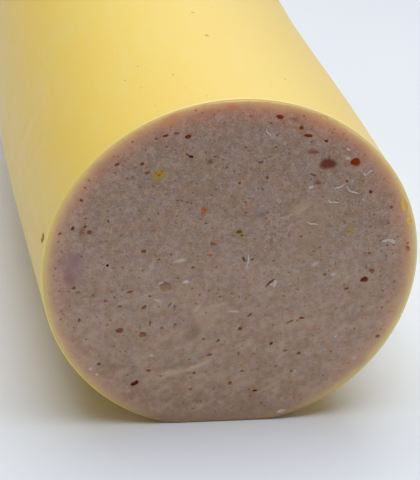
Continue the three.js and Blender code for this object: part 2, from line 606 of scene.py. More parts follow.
@dataclass(frozen=True)
class WireFinish:
    """Drawn aluminium wire, dulled by the crimping."""

    bright: Colour = (214, 216, 219)
    dull: Colour = (168, 171, 176)

    def build(self) -> bpy.types.Material:
        """Makes the material.

        Returns:
            The material.
        """
        recipe = Recipe("clip_wire")
        cloud = recipe.noise(1.2, 3.0)
        colour = recipe.mix(linear(self.dull), linear(self.bright), cloud.rise(0.35, 0.6))
        scratches = recipe.noise(0.25, 2.0, recipe.stretched((1.0, 6.0, 1.0)))
        return recipe.finish({
            "Base Color": colour,
            "Metallic": 1.0,
            "Roughness": 0.26 + cloud * 0.18,
            "Normal": recipe.bump(scratches, 0.03, 0.35),
        })


@dataclass(frozen=True)
class FloorFinish:
    """Plain pale tabletop."""

    colour: Colour = (219, 224, 233)
    second: Colour = (222, 226, 234)

    def build(self) -> bpy.types.Material:
        """Makes the material.

        Returns:
            The material.
        """
        recipe = Recipe("pale_floor")
        cloud = recipe.noise(90.0, 2.0).rise(0.3, 0.7)
        colour = recipe.mix(linear(self.colour), linear(self.second), cloud)
        return recipe.finish({"Base Color": colour, "Roughness": 0.6})


def make_object(name: str, points: Array, faces: list, material: bpy.types.Material) -> bpy.types.Object:
    """Makes a smooth-shaded mesh object that rides on the body.

    Args:
        name: Name of the piece.
        points: Corners in millimetres, one row each.
        faces: Corner numbers of each face.
        material: Its finish.

    Returns:
        The object, in the scene.
    """
    mesh = bpy.data.meshes.new(name)
    mesh.from_pydata((points * MM).tolist(), [], faces)
    mesh.polygons.foreach_set("use_smooth", np.ones(len(mesh.polygons), dtype=bool))
    mesh.materials.append(material)
    mesh.update()
    piece = bpy.data.objects.new(name, mesh)
    bpy.context.scene.collection.objects.link(piece)
    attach(piece, BODY)
    return piece


def add_values(piece: bpy.types.Object, name: str, values: Array) -> None:
    """Stores a number, or a colour and its strength, at each point of a mesh.

    Args:
        piece: The object.
        name: Name of the attribute.
        values: One number for each point, or one row of red, green, blue and strength.
    """
    kind, key = ("FLOAT", "value") if values.ndim == 1 else ("FLOAT_COLOR", "color")
    attribute = piece.data.attributes.new(name, kind, "POINT")
    attribute.data.foreach_set(key, values.astype(np.float32).ravel())


def loft_faces(rings: int, around: int, first: int = 0) -> list:
    """Four-sided faces between rings that follow each other away from the cut.

    Args:
        rings: How many rings there are.
        around: How many points each has.
        first: Number of the first ring's first point.

    Returns:
        The faces, facing out.
    """
    rows = np.arange(rings - 1)[:, None] * around + first
    here = rows + np.arange(around)[None, :]
    there = rows + (np.arange(around)[None, :] + 1) % around
    return np.stack([here, here + around, there + around, there], axis=-1).reshape(-1, 4).tolist()


def fan_faces(around: int, first: int, tip: int, closing: bool) -> list:
    """Triangles from one ring to a single point.

    Args:
        around: How many points the ring has.
        first: Number of the ring's first point.
        tip: Number of the single point.
        closing: Whether the fan ends the loft, and not starts it.

    Returns:
        The faces, facing out.
    """
    faces = []
    for number in range(around):
        here = first + number
        there = first + (number + 1) % around
        faces.append([here, tip, there] if closing else [there, tip, here])
    return faces


def closed_tube(points: Array, around: int, tips: list[Triple] | None = None) -> tuple[Array, list]:
    """Closes a run of rings with a fan at each end.

    Args:
        points: Points of the rings, one row each.
        around: How many points each ring has.
        tips: The two end points, or the middles of the end rings if left out.

    Returns:
        The points with the two end points added, and the faces, facing out.
    """
    size = len(points)
    faces = loft_faces(size // around, around)
    faces += fan_faces(around, 0, size, False)
    faces += fan_faces(around, size - around, size + 1, True)
    if tips is None:
        tips = [points[:around].mean(axis=0), points[-around:].mean(axis=0)]
    return np.concatenate([points, tips]), faces


@dataclass(frozen=True)
class Form:
    """The outer form of the sausage, in millimetres from the cut and from its centre line."""

    cut_radius: float = 30.0
    belly: float = 0.6
    belly_reach: float = 42.0
    bow: float = 4.0
    sag: float = 1.3
    softness: float = 0.8
    unevenness: float = 0.2
    # Height and number of each set of lobes, and the millimetres in which they twist by one radian
    lobes: tuple[Wave, ...] = ((1.0, 3, 17.0), (0.6, 5, -23.0))
    shoulder_start: float = 100.0
    body_length: float = 172.0
    shoulder_power: float = 2.2
    pleat_start: float = 126.0
    # Radius of the outside where the film's inner face and the meat end
    inner_end: float = 7.5
    neck_radius: float = 3.6
    neck_length: float = 6.4
    tail_length: float = 11.0
    tail_radius: float = 9.2

    @property
    def full_radius(self) -> float:
        """Radius of the body where it is fullest."""
        return self.cut_radius + self.belly

    @cached_property
    def origin(self) -> Array:
        """Foot of the cut face's centre in the part's frame, in millimetres."""
        low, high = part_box("casing")
        return np.array([high.x / MM - self.cut_radius, low.y / MM, low.z / MM])

    @property
    def face_height(self) -> float:
        """Height of the cut face's centre above the underside."""
        return self.cut_radius - self.sag

    def centre_x(self, along: Array) -> Array:
        """Sideways place of the centre line."""
        return -self.bow * np.sin(math.pi * np.clip(along / self.body_length, 0, 1))

    def barrel_radius(self, along: Array) -> Array:
        """Radius between the cut and the shoulder."""
        share = np.clip(along / self.belly_reach, 0, 1)
        return self.cut_radius + self.belly * np.sin(share * math.pi / 2)

    def lobe(self, along: Array, angle: Array) -> Array:
        """How far slight, twisting lobes stand out.

        Args:
            along: Distance from the cut.
            angle: Angle round the centre line.

        Returns:
            Millimetres outwards, none at the cut.
        """
        wave = sum(size * np.sin(number * angle + along / twist) for size, number, twist in self.lobes)
        return self.unevenness * wave * np.clip(along / self.belly_reach, 0, 1)

    def settled(self, height: Array) -> Array:
        """Heights above the underside, where what would sink under it is pressed flat with soft corners.

        Args:
            height: Heights of the round form before it is pressed flat.

        Returns:
            Heights from 0 up.
        """
        lowest = (math.hypot(self.sag, self.softness) - self.sag) / 2
        return (height + np.sqrt(height * height + self.softness**2)) / 2 - lowest

    def place(self, along: Array, reach: Array, angle: Array, inset: float) -> Array:
        """Points of rings round the centre line, kept above the flat underside.

        Args:
            along: Distance from the cut of each point.
            reach: Distance from the centre line of each point.
            angle: Angle of each point, from +X towards +Z.
            inset: How far the underside lies inside the outer one.

        Returns:
            One row for each point, in the part's frame and in millimetres.
        """
        height = self.barrel_radius(along) - self.sag + reach * np.sin(angle)
        height = inset + self.settled(height - inset)
        across = self.centre_x(along) + reach * np.cos(angle)
        return np.stack([across, along, height], axis=-1).reshape(-1, 3) + self.origin

    def outline(self, starts: Array, steps: int, end_radius: float, inset: float) -> tuple[Array, Array]:
        """Distances and radii of rings from the cut to the closed end.

        Args:
            starts: Distances of the rings before the shoulder.
            steps: How many rings the shoulder has.
            end_radius: Radius of the outside at the last ring.
            inset: How far the rings lie inside the outside.

        Returns:
            Distance from the cut and radius of each ring.
        """
        power = 2 / self.shoulder_power
        reach = self.body_length - self.shoulder_start
        last = math.acos((end_radius / self.full_radius) ** (1 / power))
        turn = np.linspace(0, last, steps + 1)[1:]
        normal = np.stack([
            self.full_radius * np.cos(turn) ** (power - 1) * np.sin(turn),
            reach * np.sin(turn) ** (power - 1) * np.cos(turn),
        ])
        normal /= np.linalg.norm(normal, axis=0)
        along = self.shoulder_start + reach * np.sin(turn) ** power - inset * normal[0]
        radius = self.full_radius * np.cos(turn) ** power - inset * normal[1]
        return np.append(starts, along), np.append(self.barrel_radius(starts) - inset, radius)


@dataclass(frozen=True)
class RimTone:
    """Looks of the rim at one angle: the film's cut edge and the outside next to it, darker towards the foot
    where shade is painted, and how strongly the meat's ring glows and how pink it is.
    """

    angle: float
    film: Colour
    outside: Colour
    glow: float
    pink: float = 0.0


# Rim tones by angle, -90 at the foot: the film's tones darken and the ring's glow fades towards the foot,
# painted shade where the rim meets the floor
RIM_TONES = (
    RimTone(-90, (104, 86, 60), (116, 98, 66), 0.05),
    RimTone(-68, (116, 96, 62), (122, 104, 66), 0.25),
    RimTone(-50, (180, 160, 98), (188, 170, 100), 0.8),
    RimTone(-20, (208, 190, 132), (220, 204, 132), 1.0, 0.1),
    RimTone(15, (216, 196, 134), (224, 206, 134), 1.0, 0.4),
    RimTone(50, (224, 200, 144), (228, 208, 140), 1.0, 0.9),
    RimTone(90, (214, 188, 124), (226, 204, 126), 1.0, 1.0),
    RimTone(130, (214, 188, 118), (222, 198, 114), 1.0, 0.8),
    RimTone(160, (206, 186, 98), (222, 202, 104), 1.0, 0.3),
    RimTone(195, (214, 198, 94), (222, 204, 102), 1.0),
    RimTone(212, (206, 182, 78), (212, 190, 84), 0.85, 0.2),
    RimTone(232, (194, 162, 54), (198, 166, 56), 0.55, 0.4),
    RimTone(250, (132, 110, 60), (138, 116, 62), 0.1, 0.4),
)


# Light on the film's cut edge and on its outside: at the sides, and what is added at the top
EDGE_LIGHT: Point = (0.66, 0.08)
SIDE_LIGHT: Point = (0.78, 0.18)


def rim_share(angle: Array, values: list[float]) -> Array:
    """Reads numbers given at the rim's named angles at any other angles, in degrees."""
    return np.interp(angle, [tone.angle for tone in RIM_TONES], values, period=360)


def rim_colours(angle: Array, front: bool) -> Array:
    """Colour of the film near its cut edge at some angles, with painted shade towards the foot.

    Args:
        angle: Angles in degrees.
        front: Whether the cut edge itself is meant, or else the outside next to it.

    Returns:
        Red, green and blue in linear light, one row for each angle.
    """
    sides, rise = EDGE_LIGHT if front else SIDE_LIGHT
    tones = []
    for tone in RIM_TONES:
        light = sides + rise * math.sin(math.radians(tone.angle))
        tones.append(lit(tone.film if front else tone.outside, (light, light, light)))
    return np.column_stack([rim_share(angle, part) for part in zip(*tones)])


@dataclass(frozen=True)
class Dent:
    """A soft dent or swelling of the casing."""

    along: float
    angle: float
    half_along: float
    half_around: float
    height: float


@dataclass
class Casing:
    """The yellow film from the cut to the closed end, with its neck and tail."""

    form: Form
    wall: float = 0.3
    around: int = 256
    # Rings over the body: those next to the cut, and how many the barrel and the shoulder have
    near_rings: tuple[float, ...] = (0.62, 0.85, 1.2, 1.7, 2.4, 3.4)
    inner_steps: tuple[int, int] = (22, 20)
    outer_steps: tuple[int, int] = (86, 84)
    # The cut edge from inside out: how far each ring is set back by the slope, and its depth in the wall
    edge_rings: tuple[Point, ...] = ((3.0, 0.98), (1.0, 0.8), (0.1, 0.7), (0.02, 0.64), (0.3, 0.3), (1.0, 0.0))
    edge_slope: float = 0.1
    slope_lean: tuple[Wave, ...] = ((0.04, 1, 0.0),)
    waver_mean: float = 0.7
    slope_waver: tuple[Wave, ...] = ((0.3, 4, 1.0),)
    edge_reach: float = 0.9
    edge_strength: float = 0.9
    rounding: float = 0.12
    # The edge's flare to one side, and the painted sheen along the top
    flare: float = 0.22
    flare_angle: float = -10.0
    flare_depth: float = 0.6
    flare_length: float = 2.0
    pale_angle: float = 72.0
    pale_reach: float = 42.0
    # The gathered end
    pleats: int = 14
    pleat_depth: float = 1.5
    pleat_bends: tuple[Wave, ...] = ((0.1, 2, 0.7), (0.06, 5, 2.1))
    pleat_mean: float = 0.75
    pleat_changes: tuple[Wave, ...] = ((0.25, 3, 1.3),)
    fine_pleats: int = 37
    fine_depth: float = 0.45
    fine_length: float = 22.0
    fine_bends: tuple[Wave, ...] = ((0.05, 3, 0.4),)
    # The gripped neck and the tail with its torn end
    neck_slack: float = 0.25
    neck_creases: Point = (0.5, 0.35)
    tail_wall: float = 0.28
    tail_depth: float = 0.5
    tail_creases: float = 0.8
    tail_core: float = 0.4
    tail_folds: tuple[Wave, ...] = ((0.6, 9, 0.0), (0.4, 16, 0.7))
    tail_swing: tuple[Wave, ...] = ((0.22, 1, 0.5), (0.12, 4, 2.0))
    torn_end: tuple[Wave, ...] = ((0.7, 3, 1.0), (0.5, 7, 0.0), (0.25, 13, 2.0))
    torn_reach: float = 1.5
    dents: tuple[Dent, ...] = (
        Dent(32.0, 161.8, 1.5, 4.5, -0.14),
        Dent(21.0, 157.8, 1.4, 4.0, -0.12),
        Dent(28.0, 156.8, 1.6, 4.0, 0.10),
        Dent(20.0, 175.2, 8.0, 1.3, 0.14),
        Dent(12.0, 169.8, 4.0, 1.0, 0.10),
        Dent(50.0, 163.8, 5.0, 3.0, -0.12),
        Dent(64.0, 39.8, 7.0, 3.0, -0.10),
        Dent(88.0, 103.8, 10.0, 4.0, 0.08),
    )

    def creases(self, angle: Array) -> Array:
        """How deep the pleats are round a turn.

        Args:
            angle: Angles in radians.

        Returns:
            0 on a crest, and up to 1 in a crease.
        """
        bent = waves(angle, self.pleat_bends, angle)
        main = 1 - np.abs(np.sin(bent * self.pleats / 2))
        return main**1.3 * waves(angle, self.pleat_changes, self.pleat_mean)

    def fine_creases(self, angle: Array) -> Array:
        """How deep the small pleats between the main ones are, 0 to 1."""
        bent = waves(angle, self.fine_bends, angle)
        return (1 - np.abs(np.sin(bent * self.fine_pleats / 2))) ** 1.5

    def relief(self, along: Array, radius: Array, angle: Array) -> Array:
        """How far the casing's surface stands out from its plain form.

        Args:
            along: Distance from the cut.
            radius: Radius of the plain form.
            angle: Angle round the centre line.

        Returns:
            Millimetres outwards.
        """
        form = self.form
        height = form.lobe(along, angle) * radius / form.full_radius
        for dent in self.dents:
            turned = (angle - math.radians(dent.angle) + math.pi) % TAU - math.pi
            off = (along - dent.along) / dent.half_along
            side = turned * form.full_radius / dent.half_around
            height = height + dent.height * np.exp(-(off**2) - side**2)
        share = smooth_step(along, form.pleat_start, form.body_length)
        height = height - self.pleat_depth * share * self.creases(angle)
        near = smooth_step(along, form.body_length - self.fine_length, form.body_length)
        return height - self.fine_depth * near * self.fine_creases(angle)

    def ring(self, along: Array, radius: Array, angle: Array, inset: float) -> Array:
        """One ring of the film over the body.

        Args:
            along: Distance from the cut.
            radius: Radius before the relief.
            angle: Angles of its points.
            inset: How far the underside lies inside the outer one.

        Returns:
            One row for each point.
        """
        along = along + 0 * angle
        return self.form.place(along, radius + self.relief(along, radius, angle), angle, inset)

    def film_rings(self) -> tuple[Array, Array]:
        """Rings of both faces of the film over the body, from the closed end inside to the neck outside.

        Returns:
            Points of the rings, and for each point how much of the rim's colours it has: above 0 those of
            the cut edge, and below 0 those of the outside next to it.
        """
        form = self.form
        angle = turns(self.around)
        steps, shoulder_steps = self.inner_steps
        starts = np.append(self.near_rings, np.linspace(6, form.shoulder_start, steps))
        inner = form.outline(starts, shoulder_steps, form.inner_end, self.wall)
        steps, shoulder_steps = self.outer_steps
        starts = np.append(self.near_rings, np.linspace(4.6, form.shoulder_start, steps))
        outer = form.outline(starts, shoulder_steps, form.neck_radius, 0)
        flare = self.flare * np.clip(np.cos(angle - math.radians(self.flare_angle)), 0, 1)
        slope = waves(angle, self.slope_lean, self.edge_slope)
        slope = slope * waves(angle, self.slope_waver, self.waver_mean)
        points = [self.ring(distance, radius, angle, self.wall) for distance, radius in zip(*inner)][::-1]
        edges = [0.0] * len(points)
        for lift, depth in self.edge_rings:
            flared = flare * max(0.0, 1 - depth / self.flare_depth)
            radius = form.cut_radius - depth * self.wall + flared
            points.append(self.ring(lift * slope + self.rounding, radius, angle, depth * self.wall))
            edges.append(1.0)
        for distance, radius in zip(*outer):
            radius = radius + flare * math.exp(-distance / self.flare_length)
            points.append(self.ring(distance, radius, angle, 0.0))
            edges.append(-self.edge_strength * hill(distance, self.rounding, self.edge_reach))
        return np.concatenate(points), np.repeat(edges, self.around)

    def tail_rings(self) -> Array:
        """Rings of the gripped neck and of the tail, out to its torn end and back inside it.

        Returns:
            Points of the rings.
        """
        form = self.form
        angle = turns(self.around)
        creases = self.creases(angle)
        main, fine = self.neck_creases
        gripped = form.neck_radius - self.neck_slack - main * creases - fine * self.fine_creases(angle)
        points = []
        for share in np.linspace(0.1, 1, 9):
            along = form.body_length + share * form.neck_length
            points.append(form.place(along + 0 * angle, gripped, angle, 0))
        swing = waves(angle, self.tail_swing, angle)
        folds = 0.0
        for size, number, phase in self.tail_folds:
            folds = folds + size * np.abs(np.sin(swing * number / 2 + phase))
        torn = waves(angle, self.torn_end)
        walls = [(share, 0.0) for share in np.linspace(0.06, 1, 22)]
        walls += [(share, self.tail_wall) for share in np.linspace(1, 0.12, 14)]
        for share, wall in walls:
            radius = form.neck_radius + (form.tail_radius - form.neck_radius) * share**0.8
            sunk = self.tail_depth * radius * share**0.7 * (1 - folds)
            creased = self.tail_creases * creases * (1 - share)
            reach = radius - sunk - creased - self.neck_slack - wall * (1 + 1.5 * (1 - share))
            along = form.body_length + form.neck_length + share * (form.tail_length - self.torn_reach)
            points.append(form.place(along + torn * share**3, np.maximum(reach, self.tail_core), angle, 0))
        return np.concatenate(points)

    def build(self) -> list[bpy.types.Object]:
        """Makes the casing.

        Returns:
            Its one piece.
        """
        film, edges = self.film_rings()
        points, faces = closed_tube(np.concatenate([film, self.tail_rings()]), self.around)
        piece = make_object("casing_film", points, faces, CasingFinish().build())
        strength = np.append(edges, np.zeros(len(points) - len(edges)))
        angle = np.arange(len(points)) % self.around * 360 / self.around
        tones = np.where(strength[:, None] > 0, rim_colours(angle, True), rim_colours(angle, False))
        add_values(piece, "rim_tint", np.column_stack([tones, np.abs(strength)]))
        # painted sheen along the top of the film
        add_values(piece, "stretch", hill(angle, self.pale_angle, self.pale_reach))
        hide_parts("casing")
        return [piece]


class Tone(Enum):
    """Colours inside the pores, as seen in the face's light."""

    RUST = (156, 68, 10)
    EMBER = (128, 64, 30)
    BROWN = (132, 87, 57)
    FAINT = (136, 98, 70)
    PALE = (142, 113, 90)
    OLIVE = (128, 99, 36)
    HONEY = (164, 108, 52)
    AMBER = (208, 166, 90)
    WINE = (120, 74, 56)


@dataclass(frozen=True)
class Spot:
    """An uneven oval on the cut face, in millimetres from its centre and degrees."""

    across: float
    up: float
    width: float
    height: float
    turn: float

    @property
    def reach(self) -> float:
        """Its longer diameter."""
        return max(self.width, self.height)

    @property
    def direction(self) -> Point:
        """Cosine and sine of its turn."""
        return math.cos(math.radians(self.turn)), math.sin(math.radians(self.turn))

    def near(self, points: Array, spare: float = 0.0) -> Array:
        """Whether each place is near enough to be touched by the spot."""
        return np.hypot(points[:, 0] - self.across, points[:, 1] - self.up) < self.reach + spare

    def wobble(self, angle: Array) -> Array:
        """How far out the outline lies at some angles, about 1."""
        phase = 7.3 * self.across + 3.1 * self.up
        return waves(angle, ((0.1, 2, phase), (0.07, 3, 2 * phase)), 1.0)

    def placed(self, first: Array, second: Array) -> Array:
        """Turns and moves places from the spot's own middle and axes to those of the face.

        Args:
            first: Places along its width.
            second: Places along its height.

        Returns:
            One row for each place.
        """
        cosine, sine = self.direction
        across = self.across + first * cosine - second * sine
        up = self.up + first * sine + second * cosine
        return np.stack([across, up], axis=-1)

    def share(self, points: Array) -> Array:
        """Distance of places from the spot's middle, 1 on its uneven outline.

        Args:
            points: Places on the face.

        Returns:
            One value for each place.
        """
        cosine, sine = self.direction
        off = points - np.array([self.across, self.up])
        first = (off[:, 0] * cosine + off[:, 1] * sine) * 2 / self.width
        second = (off[:, 1] * cosine - off[:, 0] * sine) * 2 / self.height
        return np.hypot(first, second) / self.wobble(np.arctan2(second, first))


@dataclass(frozen=True)
class Pore(Spot):
    """An air pore of the cut face."""

    tone: Tone
    depth: float = 0.9

    @property
    def size(self) -> float:
        """Sum of its diameters."""
        return self.width + self.height

    def ring(self, share: float, step: float) -> Array:
        """Points of a ring of the pore.

        Args:
            share: How far out the ring lies, 1 on the outline.
            step: Distance between the points in millimetres.

        Returns:
            One row for each point.
        """
        angle = turns(max(7, int(math.pi * self.size / 2 * share / step))) + share
        out = self.wobble(angle) * share
        return self.placed(np.cos(angle) * out * self.width / 2, np.sin(angle) * out * self.height / 2)


@dataclass(frozen=True)
class Patch(Spot):
    """A soft-edged area of the cut face."""

    strength: float
    softness: float

    def cover(self, points: Array) -> Array:
        """How strongly places are covered, 0 to the patch's strength."""
        ends = (1 - self.softness, 1 + self.softness * 0.5)
        return self.strength * (1 - smooth_step(self.share(points), *ends))


@dataclass(frozen=True)
class StainAndLightPatch(Patch):
    """A patch of another colour, as seen in the face's light: mostly stains, a few painted highlight and
    painted shade.
    """

    colour: Colour


NAMED_PORES = (
    Pore(17.93, 19.26, 1.4, 1.6, 4, Tone.RUST, 1.2),
    Pore(5.35, 26.91, 1.1, 0.8, -6, Tone.RUST, 1.1),
    Pore(8.83, 25.13, 0.75, 0.65, -16, Tone.RUST, 1.1),
    Pore(10.01, 23.81, 1.3, 0.6, -4, Tone.RUST, 1.1),
    Pore(12.93, 22.89, 0.65, 0.5, -16, Tone.EMBER),
    Pore(21.76, -1.78, 1.2, 1.15, 30, Tone.EMBER, 1.2),
    Pore(-17.57, -10.17, 1.25, 1.0, 34, Tone.BROWN, 0.8),
    Pore(-13.8, -11.13, 1.15, 1.1, 60, Tone.FAINT, 0.6),
    Pore(-13.84, -5.92, 0.95, 0.7, 34, Tone.FAINT, 0.7),
    Pore(-10.5, -2.25, 2.0, 1.7, 4, Tone.PALE, 0.35),
    Pore(-10.45, -2.75, 0.9, 0.5, 4, Tone.FAINT, 0.2),
    Pore(-8.47, 23.8, 1.05, 0.7, 4, Tone.EMBER, 1.0),
    Pore(-15.2, 19.35, 0.75, 0.5, 4, Tone.BROWN),
    Pore(-14.39, 17.8, 0.75, 0.6, 4, Tone.WINE, 0.3),
    Pore(0.56, 7.45, 0.92, 0.7, 4, Tone.OLIVE),
    Pore(1.01, 6.76, 0.58, 0.45, 4, Tone.OLIVE, 0.8),
    Pore(-14.31, 4.22, 0.78, 0.68, 34, Tone.BROWN, 0.8),
    Pore(-22.86, 7.82, 0.66, 0.85, -21, Tone.BROWN, 0.8),
    Pore(-25.41, 8.51, 0.55, 0.75, -21, Tone.EMBER),
    Pore(-23.52, 8.78, 0.4, 0.6, -36, Tone.EMBER),
    Pore(-19.0, 19.3, 0.85, 0.4, 32, Tone.BROWN, 0.8),
    Pore(-11.89, 23.97, 0.95, 0.42, 16, Tone.EMBER, 0.8),
    Pore(-13.26, 23.48, 0.5, 0.4, 4, Tone.BROWN, 0.7),
    Pore(-10.22, 24.38, 0.9, 0.35, 4, Tone.WINE, 0.4),
    Pore(-11.58, 22.19, 0.42, 0.34, 4, Tone.BROWN),
    Pore(-24.22, 13.34, 0.45, 0.5, 4, Tone.EMBER),
    Pore(-27.36, 7.63, 0.58, 0.32, 39, Tone.BROWN),
    Pore(-19.97, 9.61, 0.36, 0.55, -11, Tone.BROWN),
    Pore(-3.45, 5.29, 0.92, 0.7, 4, Tone.FAINT, 0.5),
    Pore(-6.39, 1.18, 0.62, 0.45, 4, Tone.FAINT, 0.7),
    Pore(-25.02, -2.04, 0.72, 0.6, 24, Tone.BROWN, 0.7),
    Pore(-24.46, -3.01, 0.85, 0.7, 4, Tone.PALE, 0.4),
    Pore(-21.91, -3.64, 0.6, 0.75, 4, Tone.PALE, 0.6),
    Pore(-20.04, -4.62, 0.4, 0.55, 4, Tone.FAINT, 0.7),
    Pore(-16.23, -3.07, 1.1, 0.5, 29, Tone.FAINT, 0.6),
    Pore(-8.9, -6.2, 0.4, 1.2, -6, Tone.PALE, 0.5),
    Pore(-9.75, -5.6, 0.26, 1.0, -28, Tone.FAINT, 0.6),
    Pore(-12.7, -9.0, 0.28, 1.0, -8, Tone.FAINT, 0.6),
    Pore(-8.7, -9.5, 0.26, 1.0, -26, Tone.FAINT, 0.6),
    Pore(-17.67, -5.67, 0.7, 0.45, 24, Tone.FAINT, 0.7),
    Pore(-12.98, -3.86, 0.48, 0.4, 4, Tone.BROWN),
    Pore(-24.03, -7.99, 0.45, 0.8, -11, Tone.BROWN, 0.8),
    Pore(-10.77, -9.93, 0.66, 0.5, 34, Tone.PALE, 0.7),
    Pore(-20.67, -16.39, 0.75, 0.65, 4, Tone.BROWN, 0.6),
    Pore(-12.55, -17.96, 0.8, 0.66, 4, Tone.BROWN, 0.5),
    Pore(-10.58, -19.03, 0.42, 0.4, 0, Tone.FAINT, 0.7),
    Pore(-5.03, -18.77, 0.58, 0.5, 4, Tone.BROWN, 0.8),
    Pore(-5.48, -21.91, 0.6, 0.46, 4, Tone.FAINT, 0.6),
    Pore(-2.7, -15.31, 0.9, 0.5, 29, Tone.BROWN, 0.6),
    Pore(-1.48, -12.62, 0.7, 0.46, 29, Tone.BROWN, 0.7),
    Pore(-0.83, -13.28, 0.42, 0.3, 4, Tone.PALE, 0.7),
    Pore(-3.81, -12.18, 0.6, 0.4, 4, Tone.FAINT, 0.6),
    Pore(1.07, -20.97, 0.8, 0.68, 34, Tone.BROWN, 0.7),
    Pore(5.44, -22.59, 0.78, 0.72, 0, Tone.EMBER, 1.0),
    Pore(7.4, -13.45, 0.55, 0.75, -11, Tone.EMBER, 1.0),
    Pore(2.1, -15.2, 0.36, 0.55, 24, Tone.FAINT, 0.8),
    Pore(9.9, -14.98, 0.8, 0.5, 4, Tone.FAINT, 0.5),
    Pore(12.24, -15.53, 0.8, 0.55, 39, Tone.BROWN, 0.8),
    Pore(25.28, -12.67, 0.72, 0.85, -16, Tone.FAINT, 0.6),
    Pore(2.93, -18.65, 0.62, 0.46, 4, Tone.FAINT, 0.6),
    Pore(8.49, -17.88, 0.55, 0.42, 4, Tone.PALE, 0.6),
    Pore(11.27, -19.0, 0.62, 0.5, 24, Tone.FAINT, 0.6),
    Pore(18.96, -3.37, 0.78, 0.42, 29, Tone.BROWN, 0.8),
    Pore(15.12, -0.61, 0.52, 0.42, 4, Tone.BROWN),
    Pore(22.86, -0.21, 0.95, 0.9, 0, Tone.WINE, 0.25),
    Pore(21.99, 3.19, 0.45, 0.42, 0, Tone.BROWN, 1.0),
    Pore(20.92, 14.1, 0.52, 0.72, 24, Tone.EMBER, 1.0),
    Pore(24.61, 11.33, 0.5, 0.6, 34, Tone.BROWN, 0.6),
    Pore(4.21, 16.81, 0.4, 0.62, 4, Tone.BROWN, 0.8),
    Pore(-0.04, 15.93, 0.46, 0.46, 0, Tone.BROWN),
    Pore(2.94, 19.43, 0.72, 0.38, 4, Tone.BROWN, 0.8),
    Pore(-2.22, 18.59, 0.52, 0.28, 44, Tone.BROWN, 0.8),
    Pore(-4.05, 20.48, 0.46, 0.3, 4, Tone.BROWN, 0.8),
    Pore(1.3, 10.81, 0.5, 0.4, 4, Tone.FAINT, 0.8),
    Pore(-4.8, 9.01, 0.5, 0.34, 4, Tone.BROWN, 0.8),
    Pore(17.6, -7.06, 0.5, 0.42, 4, Tone.PALE, 0.6),
    Pore(25.32, -7.06, 0.42, 0.5, 4, Tone.PALE, 0.7),
    Pore(2.04, -10.49, 0.66, 0.85, -16, Tone.WINE, 0.8),
    Pore(3.42, -7.89, 0.42, 1.0, -31, Tone.FAINT, 0.7),
    Pore(-11.9, 2.73, 0.66, 0.26, 29, Tone.BROWN, 0.8),
    Pore(-1.62, -4.32, 0.55, 0.32, 4, Tone.FAINT, 0.8),
    Pore(11.45, 17.18, 1.25, 0.3, -27, Tone.BROWN, 0.5),
    Pore(6.2, -2.02, 1.9, 0.4, 49, Tone.BROWN, 0.7),
    Pore(12.1, -8.74, 1.0, 0.44, 4, Tone.BROWN, 0.8),
    Pore(11.42, -9.14, 0.6, 0.24, 42, Tone.FAINT, 0.6),
    Pore(10.1, -9.42, 1.4, 0.28, 26, Tone.FAINT, 0.5),
    Pore(1.7, 2.42, 0.34, 1.2, 29, Tone.FAINT, 1.0),
    Pore(3.0, 2.4, 0.6, 0.34, 49, Tone.BROWN, 1.0),
    Pore(-9.5, 13.1, 0.6, 0.26, 8, Tone.FAINT, 0.6),
    Pore(-8.8, 13.02, 0.55, 0.28, -12, Tone.FAINT, 0.6),
    Pore(-8.05, 12.8, 0.6, 0.26, -24, Tone.FAINT, 0.6),
    Pore(-7.35, 12.5, 0.36, 0.3, 0, Tone.BROWN, 0.7),
    Pore(-8.38, 20.9, 0.8, 0.26, -16, Tone.BROWN, 0.8),
    Pore(16.89, 16.04, 0.55, 0.34, -31, Tone.EMBER, 1.0),
    Pore(26.69, 11.67, 0.95, 2.0, 21, Tone.AMBER, 0.45),
    Pore(27.83, 8.84, 0.85, 1.4, 16, Tone.AMBER, 0.45),
    Pore(28.26, 3.76, 0.85, 1.1, 4, Tone.HONEY, 0.4),
    Pore(28.22, 6.66, 0.34, 0.36, 0, Tone.AMBER, 0.5),
    Pore(28.14, 4.9, 0.32, 0.36, 4, Tone.WINE, 0.8),
    Pore(12.22, 26.86, 0.9, 0.55, -21, Tone.AMBER, 0.3),
    Pore(15.5, 24.17, 0.3, 0.28, 4, Tone.HONEY, 0.6),
    Pore(19.19, 20.6, 0.28, 0.26, 4, Tone.HONEY, 0.6),
    Pore(-7.55, 28.07, 0.36, 0.28, 4, Tone.HONEY, 0.6),
    Pore(11.15, 16.46, 0.3, 0.26, 4, Tone.EMBER, 0.8),
)

